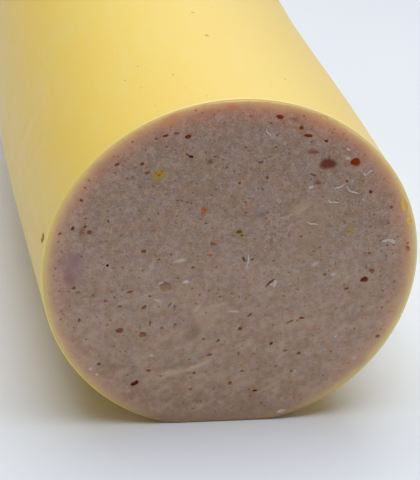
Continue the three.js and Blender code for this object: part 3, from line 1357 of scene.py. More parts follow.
STAINS_AND_PAINTED_LIGHT = (
    StainAndLightPatch(-25.3, 1.6, 3.6, 6.6, 24, 0.6, 0.9, (122, 94, 100)),
    StainAndLightPatch(-25.7, -0.6, 2.0, 3.0, 24, 0.65, 0.8, (116, 78, 86)),
    StainAndLightPatch(-24.6, 3.2, 2.4, 2.4, 4, 0.6, 0.8, (114, 86, 96)),
    StainAndLightPatch(12.45, 8.83, 9.0, 11.0, -16, 0.4, 0.6, (136, 116, 100)),
    StainAndLightPatch(10.26, 11.7, 4.5, 1.6, 34, 0.5, 0.6, (148, 128, 110)),
    StainAndLightPatch(12.0, 5.0, 3.4, 2.6, 4, 0.4, 0.6, (120, 98, 78)),
    StainAndLightPatch(6.4, 12.75, 1.2, 0.7, -20, 0.6, 0.8, (158, 146, 142)),
    StainAndLightPatch(3.95, 12.0, 0.5, 0.4, 0, 0.8, 0.8, (164, 150, 140)),
    StainAndLightPatch(10.2, 11.0, 2.4, 0.7, 38, 0.6, 0.8, (154, 134, 112)),
    StainAndLightPatch(-10.9, 15.6, 0.7, 0.5, 0, 0.7, 0.8, (150, 98, 62)),
    StainAndLightPatch(-8.2, 13.9, 0.8, 0.5, -20, 0.6, 0.8, (142, 98, 66)),
    StainAndLightPatch(-5.6, 18.1, 0.8, 0.7, 0, 0.5, 0.8, (136, 102, 72)),
    StainAndLightPatch(-5.1, 11.1, 1.3, 1.0, 0, 0.6, 0.8, (128, 92, 48)),
    StainAndLightPatch(-13.5, 12.0, 1.0, 0.8, 0, 0.6, 0.8, (132, 118, 78)),
    StainAndLightPatch(14.89, 8.29, 1.5, 0.8, 4, 0.7, 0.6, (108, 88, 48)),
    StainAndLightPatch(18.45, 7.52, 1.0, 2.1, 34, 0.8, 0.9, (134, 118, 44)),
    StainAndLightPatch(3.8, 10.6, 2.8, 2.4, 24, 0.5, 0.9, (112, 100, 96)),
    StainAndLightPatch(3.9, 10.4, 1.2, 0.9, 24, 0.7, 0.8, (92, 78, 80)),
    StainAndLightPatch(-12.6, 17.5, 2.8, 2.8, 0, 0.7, 0.9, (128, 112, 48)),
    StainAndLightPatch(-12.5, 17.5, 1.6, 1.6, 0, 0.9, 0.7, (142, 120, 6)),
    StainAndLightPatch(0.85, 6.97, 2.2, 2.6, 4, 0.4, 0.8, (126, 112, 66)),
    StainAndLightPatch(13.53, 19.08, 2.7, 2.0, -8, 1.0, 0.34, (86, 38, 26)),
    StainAndLightPatch(13.62, 20.03, 0.5, 0.4, 4, 0.8, 0.6, (90, 50, 40)),
    StainAndLightPatch(10.94, 21.16, 1.9, 1.0, -11, 0.9, 0.6, (100, 62, 50)),
    StainAndLightPatch(12.3, 15.84, 1.3, 0.9, -20, 0.85, 0.6, (98, 58, 50)),
    StainAndLightPatch(-4.84, 19.63, 1.0, 0.95, 20, 0.95, 0.6, (94, 62, 48)),
    StainAndLightPatch(-23.97, 7.95, 0.9, 2.1, -11, 0.8, 0.8, (100, 70, 48)),
    # painted shadow on the lower left of the pale slab beside it
    StainAndLightPatch(-5.6, -11.0, 3.4, 2.8, 40, 0.65, 0.7, (110, 95, 76)),
    StainAndLightPatch(-3.4, -8.2, 4.4, 4.2, 10, 0.5, 0.3, (148, 128, 110)),
    StainAndLightPatch(-5.3, -6.4, 0.9, 1.6, -34, 0.6, 0.6, (156, 142, 122)),
    StainAndLightPatch(-2.23, -5.9, 3.4, 0.9, 12, 0.5, 0.6, (154, 138, 120)),
    StainAndLightPatch(0.76, -7.07, 2.0, 0.6, -1, 0.8, 0.6, (168, 152, 136)),
    # the ledge: pale strips along its crest, partly its own pale line and partly a painted highlight, and a
    # darker strip above them, painted shade in its groove
    StainAndLightPatch(-8.6, -18.55, 5.0, 1.0, 4, 0.65, 0.6, (158, 138, 116)),
    StainAndLightPatch(-5.4, -17.75, 3.6, 0.9, 20, 0.65, 0.6, (160, 140, 120)),
    StainAndLightPatch(-3.3, -16.75, 2.4, 0.7, 34, 0.6, 0.6, (156, 136, 116)),
    StainAndLightPatch(-7.9, -17.15, 5.4, 1.5, 12, 0.4, 0.6, (118, 98, 88)),
    StainAndLightPatch(-8.48, 0.95, 4.4, 2.4, -16, 0.45, 0.6, (140, 121, 100)),
    StainAndLightPatch(-7.79, -3.52, 5.0, 3.4, 34, 0.4, 0.6, (142, 124, 104)),
    StainAndLightPatch(-13.76, -4.11, 3.0, 1.4, 24, 0.45, 0.6, (152, 139, 130)),
    StainAndLightPatch(-8.48, 2.55, 2.2, 0.8, 19, 0.7, 0.6, (164, 154, 156)),
    StainAndLightPatch(-7.33, -1.38, 1.2, 0.6, 4, 0.8, 0.6, (178, 170, 174)),
    StainAndLightPatch(-11.72, -4.68, 1.5, 0.6, -21, 0.65, 0.6, (164, 154, 150)),
    StainAndLightPatch(-12.92, 1.36, 1.2, 0.9, 4, 0.6, 0.6, (150, 136, 138)),
    StainAndLightPatch(13.24, 1.37, 1.5, 0.8, 29, 0.6, 0.6, (160, 150, 148)),
    StainAndLightPatch(16.48, -0.62, 1.2, 0.7, 16, 0.75, 0.6, (162, 152, 154)),
    StainAndLightPatch(16.63, 19.93, 0.9, 0.7, -26, 0.8, 0.6, (166, 152, 150)),
    StainAndLightPatch(-22.02, -17.28, 0.8, 0.6, 4, 0.85, 0.6, (188, 172, 162)),
    StainAndLightPatch(-20.94, -18.41, 0.7, 0.7, 0, 0.9, 0.6, (174, 156, 148)),
    StainAndLightPatch(18.15, -12.44, 0.7, 0.45, 4, 0.9, 0.6, (172, 162, 156)),
    StainAndLightPatch(11.92, -18.96, 0.55, 0.9, 4, 0.8, 0.6, (160, 148, 150)),
    StainAndLightPatch(-12.24, -15.03, 0.7, 0.6, 4, 0.8, 0.6, (172, 162, 152)),
    StainAndLightPatch(21.77, -17.21, 5.0, 3.2, 34, 0.6, 0.6, (152, 120, 104)),
    StainAndLightPatch(21.74, -16.71, 1.0, 0.8, 4, 0.65, 0.6, (168, 148, 142)),
    StainAndLightPatch(-11.36, 26.51, 4.6, 1.6, 24, 0.6, 0.6, (172, 116, 86)),
    StainAndLightPatch(-2.08, 28.63, 2.4, 0.8, 4, 0.6, 0.6, (170, 100, 70)),
    StainAndLightPatch(-5.82, 27.58, 3.6, 1.4, 9, 0.5, 0.6, (150, 100, 86)),
    StainAndLightPatch(7.58, 26.55, 1.6, 0.5, -8, 0.8, 0.6, (132, 66, 44)),
    StainAndLightPatch(-20.67, 15.68, 2.0, 2.4, 4, 0.4, 0.6, (130, 100, 88)),
    StainAndLightPatch(23.68, 8.77, 2.2, 1.2, 4, 0.5, 0.6, (112, 84, 72)),
    StainAndLightPatch(18.14, 13.82, 3.0, 2.0, 4, 0.3, 0.6, (118, 98, 90)),
    StainAndLightPatch(-15.88, 20.61, 2.0, 1.6, 4, 0.35, 0.6, (118, 96, 88)),
    StainAndLightPatch(-21.97, -13.37, 0.4, 1.6, 29, 0.5, 0.6, (138, 92, 84)),
    StainAndLightPatch(-13.22, 12.16, 1.8, 1.0, 4, 0.3, 0.6, (130, 118, 84)),
    StainAndLightPatch(-20.63, 11.98, 0.6, 1.2, 4, 0.5, 0.6, (128, 114, 66)),
    StainAndLightPatch(-10.36, -7.09, 0.8, 0.7, 4, 0.6, 0.6, (142, 108, 66)),
    StainAndLightPatch(-9.4, -11.04, 0.7, 0.9, 4, 0.6, 0.6, (146, 108, 74)),
    StainAndLightPatch(4.51, -15.34, 0.6, 0.7, 4, 0.75, 0.6, (130, 92, 58)),
    StainAndLightPatch(19.01, -21.0, 1.0, 0.7, 4, 0.6, 0.6, (150, 110, 80)),
    StainAndLightPatch(10.69, 12.73, 0.8, 0.6, 4, 0.6, 0.6, (140, 112, 86)),
)


@dataclass
class Meat:
    """The meat: its cut face with pores and relief, and the body of it inside the casing."""

    form: Form
    inset: float = 0.2
    rounding: float = 0.12
    rounding_reach: float = 1.2
    end_pinch: float = 1.6
    around: int = 256
    spacing: float = 0.31
    jitter: float = 0.12
    # What the grid keeps clear of the outline and of pores, as shares of its spacing
    rim_clear: float = 0.7
    pore_clear: float = 0.8
    # Relief of the plain face, squeezed in height where it swells and lumpier towards the low left
    swell: Ripple = Ripple(0.05, 6.0, 16.0, 14, 1)
    swell_squeeze: float = 2.2
    grain: Ripple = Ripple(0.012, 0.9, 2.2, 40, 2)
    lumps: Ripple = Ripple(0.03, 2.0, 4.5, 36, 4)
    least_lumps: float = 0.4
    lumpy_side: Point = (6.0, -10.0)
    tears: Ripple = Ripple(0.07, 0.7, 1.4, 44, 3)
    # A short, curved ledge with a groove above it
    ledge_start: Point = (-10.2, -18.65)
    ledge_bend: float = 0.034
    ledge_ends: tuple[Point, Point] = ((-11.5, -8.5), (-4.5, -2.0))
    ledge_height: float = 0.1
    ledge_reach: float = 0.35
    groove_depth: float = 0.16
    groove_place: float = 0.9
    groove_reach: float = 0.6
    # Named pores, and the rings of mesh points round large and small ones
    pores: tuple[Pore, ...] = NAMED_PORES
    large_pore: float = 0.9
    large_rings: tuple[float, ...] = (1.12, 1.0, 0.92, 0.75, 0.45)
    large_step: float = 0.14
    small_rings: tuple[float, ...] = (1.08, 0.85, 0.45)
    small_step: float = 0.12
    # The raised brim of each pore: its height, and where it lies and how far it reaches as shares of the pore
    brim_height: float = 0.02
    brim_ring: Point = (1.08, 0.08)
    # Small pores scattered between the named ones
    seed: int = 41
    small_pores: int = 500
    small_field: float = 28.6
    small_widths: tuple[float, ...] = (0.2, 0.26, 0.34, 0.42)
    small_chances: tuple[float, ...] = (0.4, 0.32, 0.2, 0.08)
    small_roundness: Point = (0.6, 1.0)
    small_turn: float = 60.0
    sparse_share: float = 0.45
    sparse_side: Point = (-14.0, 6.0)
    small_depth: float = 0.7
    small_gap: float = 0.12
    brown_from: float = 23.0
    brown_chance: float = 0.45
    # Paint of the pores: their inside, painted shade on the upper wall of large ones and a painted highlight on
    # the lip under low ones
    pore_strength: float = 0.92
    pore_edge: Point = (0.82, 1.12)
    pore_shade: float = 0.74
    shade_edge: Point = (-0.2, 0.3)
    lip_highlight: Colour = (160, 146, 138)
    lip_strength: float = 0.5
    lip_ring: Point = (1.2, 0.12)
    lip_edge: Point = (0.1, 0.5)
    lip_size: float = 1.0
    lip_limit: float = 4.0
    least_cover: float = 0.002
    stains_and_painted_light: tuple[StainAndLightPatch, ...] = STAINS_AND_PAINTED_LIGHT
    torn_patches: tuple[Patch, ...] = (
        Patch(6.86, 8.47, 6.0, 10.5, -6, 1.0, 0.5),
        Patch(-11.35, -10.26, 7.0, 9.0, 14, 0.5, 0.6),
        Patch(13.12, 13.89, 9.0, 7.0, -16, 0.35, 0.7),
        Patch(23.48, 8.75, 3.0, 2.0, 4, 0.6, 0.6),
    )

    def rim(self) -> Array:
        """The face's outline: a circle with its foot pressed flat.

        Returns:
            Places on the face.
        """
        angle = turns(self.around)
        radius = self.form.cut_radius - self.inset
        placed = self.form.place(0 * angle, radius + 0 * angle, angle, self.inset) - self.form.origin
        return np.stack([placed[:, 0], placed[:, 2] - self.form.face_height], axis=-1)

    def rim_distance(self, points: Array) -> Array:
        """Distance of places on the face from its outline.

        Args:
            points: Places on the face.

        Returns:
            Millimetres, above 0 inside the outline.
        """
        radius = self.form.cut_radius - self.inset
        side = radius - np.hypot(points[:, 0], points[:, 1])
        middle = self.form.face_height - self.inset
        foot = self.form.settled(middle - np.sqrt(np.clip(radius**2 - points[:, 0] ** 2, 0, None)))
        return np.where(points[:, 1] < 0, np.minimum(points[:, 1] + middle - foot, side), side)

    def all_pores(self) -> list[Pore]:
        """The named pores and many small ones scattered clear of them.

        Returns:
            The pores.
        """
        random = np.random.default_rng(self.seed)
        pores = list(self.pores)
        places = [(pore.across, pore.up, pore.reach) for pore in pores]
        while len(pores) < len(self.pores) + self.small_pores:
            distance = self.small_field * math.sqrt(random.uniform())
            angle = random.uniform(0, TAU)
            across = distance * math.cos(angle)
            up = distance * math.sin(angle)
            width = random.choice(self.small_widths, p=self.small_chances)
            height = width * random.uniform(*self.small_roundness)
            turn = random.uniform(-self.small_turn, self.small_turn)
            rise = smooth_step(np.array(up), *self.sparse_side)
            crowded = random.uniform() > self.sparse_share + (1 - self.sparse_share) * rise
            table = np.array(places)
            gap = np.hypot(table[:, 0] - across, table[:, 1] - up) - table[:, 2] / 2 - width
            if gap.min() < self.small_gap or crowded or up < 2 - self.form.face_height:
                continue
            brown = distance > self.brown_from or random.uniform() < self.brown_chance
            tone = Tone.BROWN if brown else Tone.FAINT
            pores.append(Pore(across, up, width, height, turn, tone, self.small_depth))
            places.append((across, up, width))
        return pores

    def grid(self) -> Array:
        """A loose grid of places over the whole face, each a little off its row.

        Returns:
            One row for each place.
        """
        radius = self.form.cut_radius
        rows = np.arange(-radius, radius, self.spacing * math.sqrt(3) / 2)
        across, up = np.meshgrid(np.arange(-radius, radius, self.spacing), rows)
        across = across + (np.arange(len(rows)) % 2)[:, None] * self.spacing / 2
        grid = np.stack([across.ravel(), up.ravel()], axis=-1)
        random = np.random.default_rng(self.seed)
        return grid + random.uniform(-self.jitter, self.jitter, grid.shape) * self.spacing

    def face_places(self, pores: list[Pore]) -> Array:
        """Places of the face's mesh points: the rim first, then rings round each pore, then the grid.

        Args:
            pores: The pores that the mesh follows.

        Returns:
            One row for each point.
        """
        grid = self.grid()
        keep = self.rim_distance(grid) > self.spacing * self.rim_clear
        rings = []
        for pore in pores:
            large = pore.size > self.large_pore
            shares, step = (self.large_rings, self.large_step) if large else (self.small_rings, self.small_step)
            middle = np.array([[pore.across, pore.up]])
            rings.append(np.concatenate([*(pore.ring(share, step) for share in shares), middle]))
            clear = 1 + self.spacing * self.pore_clear / min(pore.width, pore.height)
            near = pore.near(grid, 1.0)
            keep[near] &= pore.share(grid[near]) > clear
        for number, pore in enumerate(self.pores):
            for other in range(len(self.pores)):
                if other != number:
                    rings[other] = rings[other][pore.share(rings[other]) > 1.0]
        inner = np.concatenate(rings)
        inner = inner[self.rim_distance(inner) > self.small_step]
        return np.concatenate([self.rim(), inner, grid[keep]])

    def torn(self, points: Array) -> Array:
        """How torn the face is at some places, 0 to 1."""
        return np.clip(sum(patch.cover(points) for patch in self.torn_patches), 0, 1)

    def ledge(self, points: Array) -> Array:
        """Height of the ledge and its groove.

        Args:
            points: Places on the face.

        Returns:
            Millimetres, below 0 in the groove.
        """
        first, last = self.ledge_ends
        window = smooth_step(points[:, 0], *first) * (1 - smooth_step(points[:, 0], *last))
        across, up = self.ledge_start
        above = points[:, 1] - up - self.ledge_bend * np.clip(points[:, 0] - across, 0, None) ** 2
        groove = self.groove_depth * hill(above, self.groove_place, self.groove_reach)
        return window * (self.ledge_height * hill(above, 0.0, self.ledge_reach) - groove)

    def relief(self, points: Array, pores: list[Pore]) -> Array:
        """How far places stand out of the cut plane, in millimetres.

        Args:
            points: Places on the face.
            pores: The pores.

        Returns:
            Heights, negative in pores.
        """
        height = self.swell.at(points * [1, self.swell_squeeze]) + self.grain.at(points)
        lumpy = self.least_lumps + smooth_step(points[:, 0] + points[:, 1], *self.lumpy_side)
        height += self.lumps.at(points) * lumpy + self.tears.at(points) * self.torn(points)
        height -= self.rounding * (1 - np.clip(self.rim_distance(points) / self.rounding_reach, 0, 1)) ** 2
        height += self.ledge(points)
        for pore in pores:
            near = pore.near(points)
            share = pore.share(points[near])
            bowl = pore.depth * pore.size / 4 * np.sqrt(np.clip(1 - share**2, 0, 1))
            height[near] += self.brim_height * hill(share, *self.brim_ring) - bowl
        return height

    def pore_layers(self, pore: Pore, points: Array) -> list[tuple[Array, Colour]]:
        """Colours of a pore's inside, of the painted shade on its upper wall and of the painted highlight on
        its lower lip.

        Args:
            pore: The pore.
            points: Places near it.

        Returns:
            How strongly each layer covers the places, and its colour as seen, from the lowest layer up.
        """
        share = pore.share(points)
        rise = (points[:, 1] - pore.up) / pore.height
        inside = self.pore_strength * (1 - smooth_step(share, *self.pore_edge))
        layers = [(inside, pore.tone.value)]
        if pore.size > self.large_pore:
            shade = 1.0 if pore.tone is Tone.AMBER else self.pore_shade
            dark = tuple(part * shade for part in pore.tone.value)
            layers.append((smooth_step(rise, *self.shade_edge) * inside, dark))
        if pore.size > self.lip_size and pore.up < self.lip_limit:
            lip_highlight = self.lip_strength * smooth_step(-rise, *self.lip_edge) * hill(share, *self.lip_ring)
            layers.append((lip_highlight, self.lip_highlight))
        return layers

    def stain_and_light_paint(self, points: Array, pores: list[Pore]) -> Array:
        """Colour and strength of the stains, the painted light and shade patches and the pores, with the pores'
        painted shade and highlights, at places on the face.

        Args:
            points: Places on the face.
            pores: The pores.

        Returns:
            Red, green, blue and strength for each place.
        """
        everywhere = np.arange(len(points))
        layers = [(everywhere, stain.cover(points), stain.colour) for stain in self.stains_and_painted_light]
        for pore in pores:
            near = np.flatnonzero(pore.near(points))
            layers += [(near, cover, colour) for cover, colour in self.pore_layers(pore, points[near])]
        paint = np.zeros((len(points), 4))
        for places, cover, colour in layers:
            places = places[cover > self.least_cover]
            over = cover[cover > self.least_cover][:, None]
            before = paint[places]
            under = before[:, 3:] * (1 - over)
            blend = (np.array(lit(colour, FACE_LIGHT)) * over + before[:, :3] * under) / (over + under)
            paint[places] = np.concatenate([blend, over + under], axis=1)
        return paint

    def body_rings(self) -> Array:
        """Rings of the meat inside the casing, from behind the cut to the closed end.

        Returns:
            Points of the rings.
        """
        form = self.form
        angle = turns(self.around)
        starts = np.append([1.0, 2.0, 5.0], np.linspace(10, form.shoulder_start, 14))
        rings = []
        for distance, reach in zip(*form.outline(starts, 12, form.inner_end, self.inset)):
            pinch = self.end_pinch * smooth_step(np.array(distance), form.pleat_start, form.body_length)
            lobes = form.lobe(distance, angle) * reach / form.full_radius
            rings.append(form.place(distance + 0 * angle, reach + lobes - pinch, angle, self.inset))
        return np.concatenate(rings)

    def build(self) -> list[bpy.types.Object]:
        """Makes the meat.

        Returns:
            Its one piece.
        """
        pores = self.all_pores()
        flat = [Vector(place) for place in self.face_places(pores)]
        flat, _, faces, *_ = geometry.delaunay_2d_cdt(flat, [], [], 0, 1e-6)
        places = np.array([tuple(place) for place in flat])
        height = self.relief(places, pores)
        height[:self.around] = -self.rounding
        front = np.stack([places[:, 0], -height, places[:, 1] + self.form.face_height], axis=-1)
        body = self.body_rings()
        points = np.concatenate([front + self.form.origin, body, [body[-self.around:].mean(axis=0)]])
        count = len(front)
        number = np.arange(self.around)
        after = (number + 1) % self.around
        seam = np.stack([number, count + number, count + after, after], axis=-1).tolist()
        faces = [list(face) for face in faces] + seam
        faces += loft_faces(len(body) // self.around, self.around, count)
        faces += fan_faces(self.around, count + len(body) - self.around, count + len(body), True)
        piece = make_object("meat_filling", points, faces, MeatFinish().build())
        angle = np.degrees(np.arctan2(places[:, 1], places[:, 0]))
        values = {
            "rim_depth": np.clip(self.rim_distance(places), 0, 9),
            "rim_glow": rim_share(angle, [tone.glow for tone in RIM_TONES]),
            "rim_pink": rim_share(angle, [tone.pink for tone in RIM_TONES]),
            "torn": self.torn(places),
            "stain": self.stain_and_light_paint(places, pores),
        }
        for name, value in values.items():
            rest = np.zeros((len(points) - count, *value.shape[1:]))
            add_values(piece, name, np.concatenate([value, rest]))
        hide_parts("meat")
        return [piece]


@dataclass(frozen=True)
class Bit(Spot):
    """A grain or scrap. On the casing, its place is its distance from the cut and its angle in degrees."""

    thickness: float = 0.3


@dataclass
class Bits:
    """Small separate things on the surfaces: one piece for each kind."""

    form: Form
    seed: int = 9
    grain_roughness: float = 0.13
    flake_roughness: float = 0.2
    mark_roughness: float = 0.12
    mark_height: float = 0.04
    curl_half: float = 0.11

    def pebble(self, number: int, roughness: float) -> tuple[Array, list]:
        """An uneven ball of radius 1, with its poles towards and away from the viewer.

        Args:
            number: Its number, which seeds its shape.
            roughness: How uneven it is.

        Returns:
            Points and faces.
        """
        rings = 7
        around = 14
        tilt, angle = np.meshgrid(np.arange(1, rings + 1) * math.pi / (rings + 1), turns(around), indexing="ij")
        points = np.stack([np.sin(tilt) * np.cos(angle), -np.cos(tilt), np.sin(tilt) * np.sin(angle)], axis=-1)
        points, faces = closed_tube(points.reshape(-1, 3), around, [(0.0, -1.0, 0.0), (0.0, 1.0, 0.0)])
        bumps = Ripple(roughness, 0.8, 1.6, 10, self.seed + number).at(points)
        return points * (1 + bumps)[:, None], faces

    def grain(self, bit: Bit, number: int, roughness: float) -> tuple[Array, list]:
        """One uneven grain, flat on the face of the cut and centred on its place.

        Args:
            bit: Its place and size.
            number: Its number, which seeds its shape.
            roughness: How uneven it is.

        Returns:
            Points in the part's frame and faces.
        """
        points, faces = self.pebble(number, roughness)
        places = bit.placed(points[:, 0] * bit.width / 2, points[:, 2] * bit.height / 2)
        out = points[:, 1] * bit.thickness / 2
        local = np.stack([places[:, 0], out, places[:, 1] + self.form.face_height], axis=-1)
        return local + self.form.origin, faces

    def curl(self, line: tuple[Point, ...]) -> tuple[Array, list]:
        """A fine curl lying half sunk on the cut face.

        Args:
            line: Places that it passes through.

        Returns:
            Points in the part's frame and faces.
        """
        knots = np.array(line)
        share = np.linspace(0, len(knots) - 1, 6 * len(knots))
        path = np.stack([np.interp(share, range(len(knots)), places) for places in knots.T], axis=-1)
        for _ in range(4):
            path[1:-1] = (path[:-2] + 2 * path[1:-1] + path[2:]) / 4
        along = np.gradient(path, axis=0)
        along /= np.linalg.norm(along, axis=1)[:, None]
        half = self.curl_half * np.sin(np.linspace(0.12, math.pi - 0.12, len(share)))[:, None] ** 0.4
        angle = turns(8)
        side = np.cos(angle) * half * 1.2
        out = np.sin(angle) * half * 0.9
        across = path[:, :1] - along[:, 1:] * side
        up = path[:, 1:] + along[:, :1] * side + self.form.face_height
        rings = np.stack([across, -0.02 - out, up], axis=-1).reshape(-1, 3)
        return closed_tube(rings + self.form.origin, len(angle))

    def mark(self, bit: Bit, number: int) -> tuple[Array, list]:
        """One flat mark lying in the face of the casing.

        Args:
            bit: Its distance from the cut, angle and size.
            number: Its number, which seeds its shape.

        Returns:
            Points in the part's frame and faces.
        """
        points, faces = self.pebble(number, self.mark_roughness)
        along = bit.across + points[:, 0] * bit.width / 2
        radius = self.form.barrel_radius(np.array(bit.across))
        angle = math.radians(bit.up) + points[:, 2] * bit.height / 2 / radius
        plain = self.form.barrel_radius(along) + self.form.lobe(along, angle)
        return self.form.place(along, plain - points[:, 1] * self.mark_height, angle, 0), faces

    @staticmethod
    def join(name: str, parts: list, finish: BitFinish, slot: str) -> bpy.types.Object:
        """Joins parts into one piece.

        Args:
            name: Name of the piece.
            parts: Points and faces of each part.
            finish: Its finish.
            slot: Not used.

        Returns:
            The piece.
        """
        points = []
        faces = []
        count = 0
        for part_points, part_faces in parts:
            points.append(part_points)
            faces += [[corner + count for corner in face] for face in part_faces]
            count += len(part_points)
        piece = make_object(name, np.concatenate(points), faces, finish.build())
        return piece

    def spices(self) -> list[bpy.types.Object]:
        """Makes the black, dark red and orange grains in the meat.

        Returns:
            One piece for each kind.
        """
        kinds = {
            "pepper_grains": (BitFinish("pepper", (26, 14, 10), (46, 26, 18)), (
                Bit(-7.81, 20.53, 0.78, 0.46, -24),
                Bit(-19.87, 1.97, 0.34, 0.32, 0),
                Bit(4.56, 6.91, 0.16, 0.14, 4),
            )),
            "dark_red_grains": (BitFinish("dark_berry", (78, 18, 6), (60, 10, 4), roughness=0.4), (
                Bit(-14.84, -20.46, 0.95, 0.62, 12),
                Bit(-14.46, -20.19, 0.6, 0.8, -16),
                Bit(-19.89, 1.9, 0.48, 0.46, 20, 0.24),
                Bit(-9.96, 3.66, 0.28, 0.26, 0),
            )),
            "orange_grains": (BitFinish("sweet_pepper", (176, 78, 8), (140, 48, 4)), (
                Bit(-5.17, 11.31, 0.58, 0.5, -16),
                Bit(-5.51, 11.36, 0.36, 0.26, 24),
                Bit(-3.68, 3.37, 0.38, 0.46, 4),
                Bit(-12.52, 17.47, 0.62, 0.28, 29),
                Bit(-12.15, 17.94, 0.4, 0.12, 54),
            )),
        }
        pieces = []
        for name, (finish, bits) in kinds.items():
            parts = [self.grain(bit, number, self.grain_roughness) for number, bit in enumerate(bits)]
            pieces.append(self.join(name, parts, finish, "meat"))
        return pieces

    def scraps(self) -> bpy.types.Object:
        """Makes the white curls and flakes lying on the cut.

        Returns:
            The piece.
        """
        flakes = (
            Bit(11.24, 15.07, 0.85, 0.45, 29, 0.16),
            Bit(24.7, 5.4, 1.7, 0.42, 6, 0.16),
            Bit(25.65, 5.2, 1.0, 0.66, -16, 0.2),
            Bit(7.05, -2.04, 0.6, 1.3, -6, 0.16),
            Bit(6.66, -2.17, 0.9, 0.4, 24, 0.14),
            Bit(16.53, 21.48, 0.8, 0.32, -31, 0.14),
            Bit(10.19, -26.99, 1.7, 0.7, 16, 0.2),
            Bit(-22.02, -17.28, 0.6, 0.4, 14, 0.14),
            Bit(19.86, 12.78, 0.3, 0.26, 4, 0.12),
            Bit(17.74, 16.09, 0.4, 0.26, 54, 0.12),
        )
        curls = (
            ((14.96, 14.81), (15.95, 15.08), (16.71, 15.63)),
            ((16.94, 15.24), (17.45, 14.37), (18.32, 14.08), (19.13, 13.88)),
            ((14.19, 12.86), (14.62, 12.38), (15.42, 12.44), (16.13, 12.28)),
            ((11.23, 9.05), (11.86, 8.59), (12.46, 8.63), (13.07, 8.47)),
            ((19.4, 17.41), (19.83, 16.93)),
            ((19.87, 17.14), (20.29, 17.66), (20.77, 17.9)),
            ((3.37, 25.07), (3.61, 24.39), (4.24, 23.93)),
            ((2.29, 3.26), (2.45, 2.37), (2.16, 0.74)),
            ((-11.8, -1.88), (-11.53, -1.51), (-10.93, -1.42)),
        )
        finish = BitFinish("white_scrap", (166, 157, 158), (150, 140, 141), roughness=0.42, gloss=1.35)
        parts = [self.grain(bit, number, self.flake_roughness) for number, bit in enumerate(flakes)]
        parts += [self.curl(line) for line in curls]
        return self.join("white_scraps", parts, finish, "meat")

    def casing_marks(self) -> list[bpy.types.Object]:
        """Makes the small dark marks in the face of the casing.

        Returns:
            One piece for each kind.
        """
        kinds = {
            "casing_specks": (BitFinish("olive_speck", (214, 184, 116), (198, 168, 102), TOP_LIGHT), (
                Bit(23.6, 91.4, 0.8, 0.6, 0),
                Bit(11.3, 106.7, 0.34, 0.4, 0),
                Bit(9.8, 73.5, 0.4, 0.3, 0),
                Bit(17.8, 115.1, 0.3, 0.34, 0),
                Bit(15.4, 120.3, 0.26, 0.34, 0),
                Bit(10.8, 116.8, 0.24, 0.24, 0),
                Bit(33.4, 91.8, 0.5, 0.6, 0),
                Bit(1.1, 68.2, 0.24, 0.24, 0),
            )),
            "casing_slot": (BitFinish("amber_mark", (150, 102, 16), (122, 80, 10), (0.6, 0.6, 0.6)), (
                Bit(2.7, 169.2, 1.5, 1.4, 0),
                Bit(3.0, 170.6, 1.1, 0.7, 0),
            )),
        }
        pieces = []
        for name, (finish, bits) in kinds.items():
            parts = [self.mark(bit, number) for number, bit in enumerate(bits)]
            pieces.append(self.join(name, parts, finish, "casing"))
        return pieces

    def build(self) -> list[bpy.types.Object]:
        """Makes all kinds."""
        return [*self.spices(), self.scraps(), *self.casing_marks()]


@dataclass
class Clip:
    """The wire clip: a little over one turn of wire with rounded, slightly crushed ends."""

    form: Form
    wire_radius: float = 1.1
    gap: float = 0.3
    turn: float = 400.0
    start: float = 70.0
    pitch: float = 2.4
    steps: int = 150
    sides: int = 24
    end_steps: int = 7
    crushed: Point = (0.12, 0.88)
    crush_reach: float = 0.05
    crush_depth: float = 0.07

    def build(self) -> list[bpy.types.Object]:
        """Makes the clip.

        Returns:
            Its one piece.
        """
        form = self.form
        turn = math.radians(self.turn)
        share = np.linspace(0, 1, self.steps)[:, None]
        end = np.sin(np.linspace(0.15, math.pi / 2, self.end_steps))
        widths = np.concatenate([end, np.ones(self.steps - 2 * self.end_steps), end[::-1]])
        half = self.wire_radius * widths[:, None]
        crush = 1 - self.crush_depth * sum(hill(share, place, self.crush_reach) for place in self.crushed)
        angle = math.radians(self.start) + share * turn
        section = turns(self.sides)
        reach = form.neck_radius + self.gap + self.wire_radius + np.cos(section) * half * crush
        middle = form.body_length + form.neck_length / 2
        along = middle + (share - 0.5) * turn * self.pitch / TAU + np.sin(section) * half
        up = np.sin(angle) * reach + form.full_radius - form.sag
        rings = np.stack([np.cos(angle) * reach, along, up], axis=-1).reshape(-1, 3)
        points, faces = closed_tube(rings + form.origin, self.sides)
        piece = make_object("clip_wire", points, faces, WireFinish().build())
        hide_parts("clip")
        return [piece]


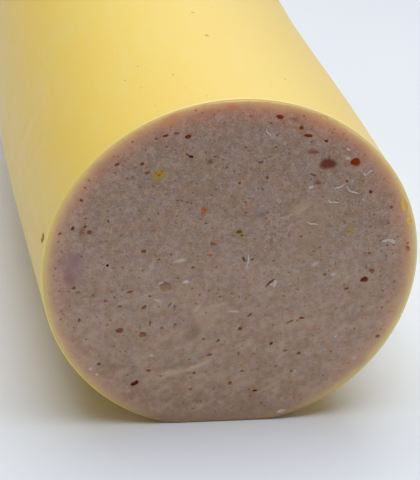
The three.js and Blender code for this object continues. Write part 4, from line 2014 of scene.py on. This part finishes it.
@dataclass
class Studio:
    """The floor, the lamp and the camera. The eye is given in millimetres from the cut, the rest in metres."""

    form: Form
    floor_reach: float = 3.0
    sky: Colour = (1.0, 0.78, 0.62)
    sky_strength: float = 0.28
    lamp_place: Triple = (0.05, -0.01, 0.9)
    lamp_aim: Triple = (0.0, -0.03, 0.03)
    lamp_size: float = 0.9
    lamp_power: float = 9.95
    lamp_colour: Colour = (0.92, 1.0, 1.05)
    lens: float = 112.5
    sensor: float = 36.0
    eye: Triple = (-42.98, -201.7, 146.24)
    look: Triple = (61.452, -3.705, -8.929)

    def lay_floor(self) -> None:
        """Lays a plain pale floor under the part."""
        mesh = bpy.data.meshes.new("floor")
        reach = self.floor_reach
        corners = [(-reach, -reach, 0), (reach, -reach, 0), (reach, reach, 0), (-reach, reach, 0)]
        mesh.from_pydata(corners, [], [(0, 1, 2, 3)])
        mesh.materials.append(FloorFinish().build())
        floor = bpy.data.objects.new("floor", mesh)
        bpy.context.scene.collection.objects.link(floor)

    def fill_sky(self) -> None:
        """Sets the pale surroundings."""
        world = bpy.data.worlds.new("studio")
        world.use_nodes = True
        background = world.node_tree.nodes["Background"]
        background.inputs["Color"].default_value = (*self.sky, 1.0)
        background.inputs["Strength"].default_value = self.sky_strength
        bpy.context.scene.world = world

    def hang_lamp(self) -> None:
        """Hangs a soft square lamp above, facing the sausage."""
        lamp = bpy.data.lights.new("top_light", "AREA")
        lamp.size = self.lamp_size
        lamp.energy = self.lamp_power
        lamp.color = self.lamp_colour
        holder = bpy.data.objects.new("top_light", lamp)
        holder.location = self.lamp_place
        aim = Vector(self.lamp_aim) - Vector(self.lamp_place)
        holder.rotation_euler = aim.to_track_quat("-Z", "Y").to_euler()
        bpy.context.scene.collection.objects.link(holder)

    def place_camera(self) -> None:
        """Sets the camera where the photograph was taken from."""
        camera = bpy.data.cameras.new("camera")
        camera.lens = self.lens
        camera.sensor_width = self.sensor
        holder = bpy.data.objects.new("camera", camera)
        holder.location = Vector((self.form.origin + np.array(self.eye)) * MM)
        holder.rotation_euler = [math.radians(turn) for turn in self.look]
        bpy.context.scene.collection.objects.link(holder)
        bpy.context.scene.camera = holder

    def build(self) -> None:
        """Makes the whole studio."""
        self.lay_floor()
        self.fill_sky()
        self.hang_lamp()
        self.place_camera()
        bpy.context.scene.view_settings.view_transform = "Standard"


def write_sizes() -> None:
    """Updates the scene's view layer."""
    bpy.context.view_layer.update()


def main() -> None:
    """Builds the pieces in order and reports each."""
    logging.basicConfig(level=logging.INFO, format="%(name)s: %(message)s")
    form = Form()
    Studio(form).build()
    for part in (Casing(form), Meat(form), Clip(form), Bits(form)):
        for piece in part.build():
            LOG.info("%s has %d faces", piece.name, len(piece.data.polygons))
    write_sizes()


if __name__ == "__main__":
    main()
